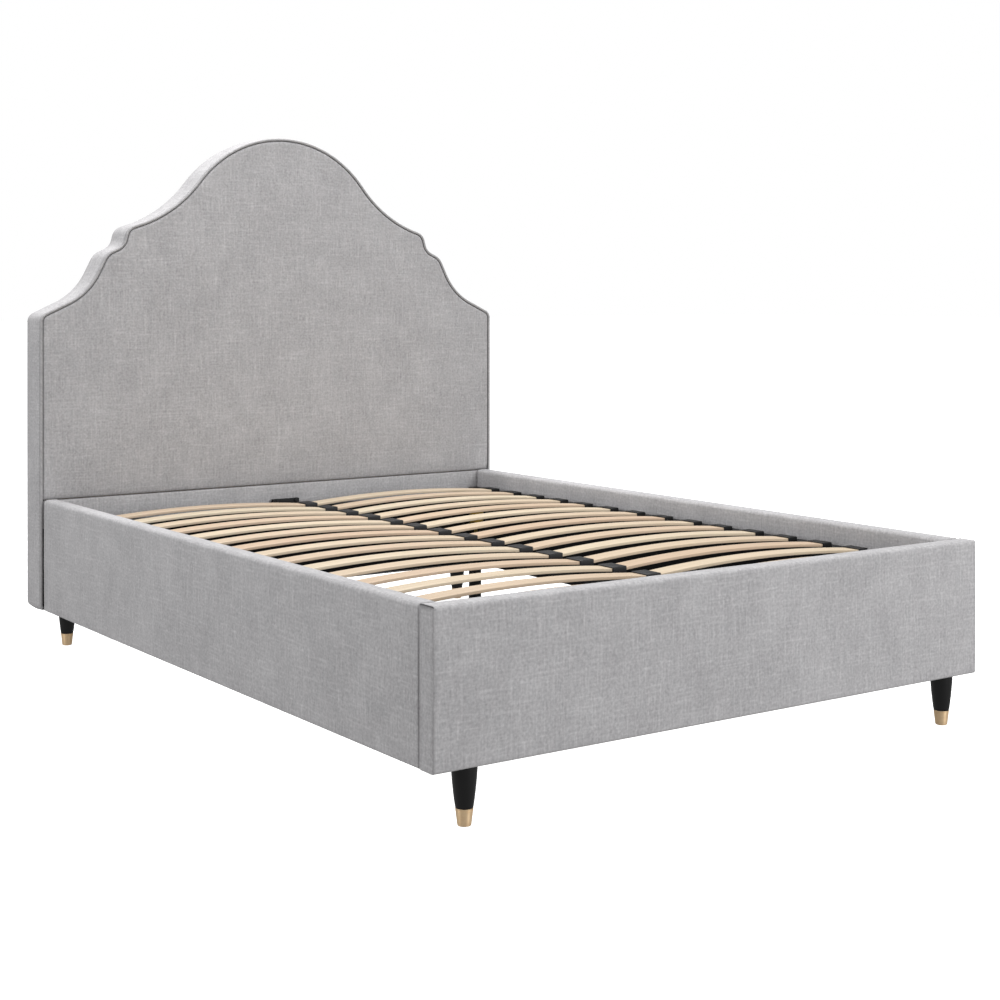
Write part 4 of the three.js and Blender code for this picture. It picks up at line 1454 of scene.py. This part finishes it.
@dataclass
class Feet:
    """Four turned feet, black above and brass at the tip, with their sizes in millimetres."""

    finishes: Finishes
    top_radius: float = 27.2
    joint_radius: float = 18.7
    belly: float = 1.0
    foot_radius: float = 14.2
    groove: float = 0.5
    top: float = 119.7
    stud: float = 30.0

    def build(self) -> list[Piece]:
        """Makes each foot and its cup."""
        return [piece for end in End for side in Side for piece in self.make_foot(end, side)]

    def make_foot(self, end: End, side: Side) -> list[Piece]:
        """One foot: a straight taper with a slight belly, and a cup that carries the taper on."""
        label = f"{end.value}_{side.label}"
        wood, cup = Box.of(f"leg_{label}"), Box.of(f"leg_ferrule_{label}")
        x, y = wood.middle[0], wood.middle[1]
        share = np.linspace(0, 1, 15)
        low, top, end_of_stud = wood.low[2] / MM, self.top, self.top + self.stud
        radii = self.joint_radius + (self.top_radius - self.joint_radius) * share
        radii = radii + 4 * self.belly * share * (1 - share)
        heights = low + (top - low) * share
        body = [(1.0, low), (radii[0] - 1.2, low), (radii[0] - 0.5, low + 0.5)]
        body += zip(radii[1:-1], heights[1:-1])
        body += [(radii[-1] - 0.2, top - 1), (radii[-1] - 1.0, top), (4.0, top)]
        stud = [(4.0, top), (4.0, end_of_stud - 1), (3.2, end_of_stud), (0.5, end_of_stud)]
        post = Surface().add_rings(turned_rings(body, x, y))
        post.add_rings(turned_rings(stud, x, y, 16), paint=1)
        piece = post.finish(f"turned_foot_{label}", [self.finishes.lacquer, self.finishes.bright])
        place_piece(piece, Slot.BLACK_WOOD, f"leg_{label}")

        height, foot, joint = cup.high[2] / MM, self.foot_radius, self.joint_radius
        taper = (joint - foot) / height
        profile = [(0.5, 0.0), (foot - 2.6, 0.0), (foot - 1.3, 0.35), (foot - 0.4, 1.3)]
        profile += [(foot + taper * z, z) for z in (2.6, 12.0, 22.0, height - 4.6)]
        lip = foot + taper * (height - 4)
        bed = lip - self.groove
        profile += [(bed, height - 4.2), (bed, height - 3.7), (lip + 0.1, height - 3.3)]
        profile += [(joint + 0.1, height - 0.5), (joint - 0.4, height), (0.5, height)]
        rings = turned_rings(profile, x, y)
        tip = Surface().add_rings(rings).finish(f"brass_cup_{label}", [self.finishes.brass])
        place_piece(tip, Slot.BRASS, f"leg_ferrule_{label}")
        return [piece, tip]


# ----------------------------------------------------------------------------------------------
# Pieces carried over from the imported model
# ----------------------------------------------------------------------------------------------


@dataclass
class InnerTimber:
    """The boards, posts and brackets that stay as they were packed."""

    finishes: Finishes

    def dress(self) -> None:
        """Gives each carried-over node its material."""
        materials = {
            "headboard_front_board": self.finishes.plywood,
            "footboard_board": self.finishes.plywood,
        }
        for side in Side:
            materials[f"headboard_post_{side.label}"] = self.finishes.pine
            materials[f"side_rail_board_{side.label}"] = self.finishes.plywood
            materials[f"corner_bracket_{side.label}"] = self.finishes.zinc
        for name, material in materials.items():
            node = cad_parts[name]
            node.data.materials.clear()
            node.data.materials.append(material)
            LOG.info("%s: %s", name, material.name)


# ----------------------------------------------------------------------------------------------
# Studio
# ----------------------------------------------------------------------------------------------


@dataclass
class Studio:
    """A white sweep, soft overhead light and the camera."""

    eye: tuple[float, float, float] = (-2.652, -3.8966, 1.0626)
    heading: float = 34.08
    lens: float = 61.37
    shift: tuple[float, float] = (0.05, -0.2055)
    ambient: float = 0.34

    def build(self) -> None:
        """Sets up the view, the floor and the lights."""
        self.make_camera()
        self.make_floor()
        self.make_lights()

    def make_camera(self) -> None:
        """A level camera that looks along the bed from its near left corner."""
        data = bpy.data.cameras.new("camera")
        data.lens = self.lens
        data.sensor_width = 36.0
        data.shift_x, data.shift_y = self.shift
        camera = bpy.data.objects.new("camera", data)
        camera.location = self.eye
        camera.rotation_euler = (math.radians(90), 0.0, -math.radians(self.heading))
        bpy.context.scene.collection.objects.link(camera)
        bpy.context.scene.camera = camera

    def make_floor(self) -> None:
        """A very wide white floor that takes only a faint shadow."""
        material, tree, shader = start_material("white_floor", {"Roughness": 0.9, "Specular IOR Level": 0.1})
        place = add_node(tree, "ShaderNodeTexCoord").outputs["Object"]
        mottle = streaks(tree, place, (0.4, 0.4, 0.4), 2.0, 2.0)
        colour_with(tree, shader, blend_colours(tree, mottle, "#f4f4f4", "#f6f6f6"))
        shader.inputs["Emission Color"].default_value = (1, 1, 1, 1)
        shader.inputs["Emission Strength"].default_value = 0.9
        mesh = bpy.data.meshes.new("floor")
        half = 60.0
        corners = [(-half, -half, 0), (half, -half, 0), (half, half, 0), (-half, half, 0)]
        mesh.from_pydata(corners, [], [(0, 1, 2, 3)])
        mesh.materials.append(material)
        floor = bpy.data.objects.new("floor", mesh)
        floor.visible_diffuse = floor.visible_glossy = False
        bpy.context.scene.collection.objects.link(floor)

    def make_lights(self) -> None:
        """White surroundings that light the bed less than they show, and large soft lights."""
        scene = bpy.context.scene
        scene.view_settings.view_transform = "Standard"
        world = bpy.data.worlds.new("studio")
        world.use_nodes = True
        surroundings = world.node_tree.nodes["Background"]
        surroundings.inputs["Color"].default_value = (1, 1, 1, 1)
        seen = add_node(world.node_tree, "ShaderNodeLightPath").outputs["Is Camera Ray"]
        strength = weighted_sum(world.node_tree, [(seen, 1.0 - self.ambient)], self.ambient)
        world.node_tree.links.new(strength, surroundings.inputs["Strength"])
        scene.world = world
        self.add_light("overhead", (0.2, 1.0, 4.4), (0.2, 0.5, 0.0), 3.0, 206)
        self.add_light("front", (2.0, -6.0, 2.2), (0.0, 0.0, 0.5), 2.5, 225)
        self.add_light("left", (-5.4, 0.6, 2.2), (0.0, 0.0, 0.4), 2.5, 128)

    def add_light(self, name: str, place: tuple, target: tuple, size: float, power: float) -> None:
        """A square soft light.

        Args:
            name: The light's name.
            place: Where it stands.
            target: What it points at.
            size: Its width and height.
            power: Its power in watts.
        """
        data = bpy.data.lights.new(name, "AREA")
        data.shape = "SQUARE"
        data.size = size
        data.energy = power
        light = bpy.data.objects.new(name, data)
        direction = np.array(target) - np.array(place)
        flat = math.hypot(direction[0], direction[1])
        light.location = place
        turn = math.atan2(direction[1], direction[0]) - math.pi / 2
        light.rotation_euler = (math.atan2(flat, -direction[2]), 0.0, turn)
        bpy.context.scene.collection.objects.link(light)


def main() -> None:
    """Builds the bed and its studio."""
    logging.basicConfig(level=logging.INFO, format="%(name)s %(message)s")
    finishes = Finishes()
    Studio().build()
    pieces = []
    for assembly in (Headboard(finishes), Base(finishes), SlatDeck(finishes), Feet(finishes)):
        built = assembly.build()
        LOG.info("%s: %d pieces", type(assembly).__name__, len(built))
        pieces += built
    InnerTimber(finishes).dress()
    LOG.info("the bed has %d made pieces", len(pieces))


if __name__ == "__main__":
    main()
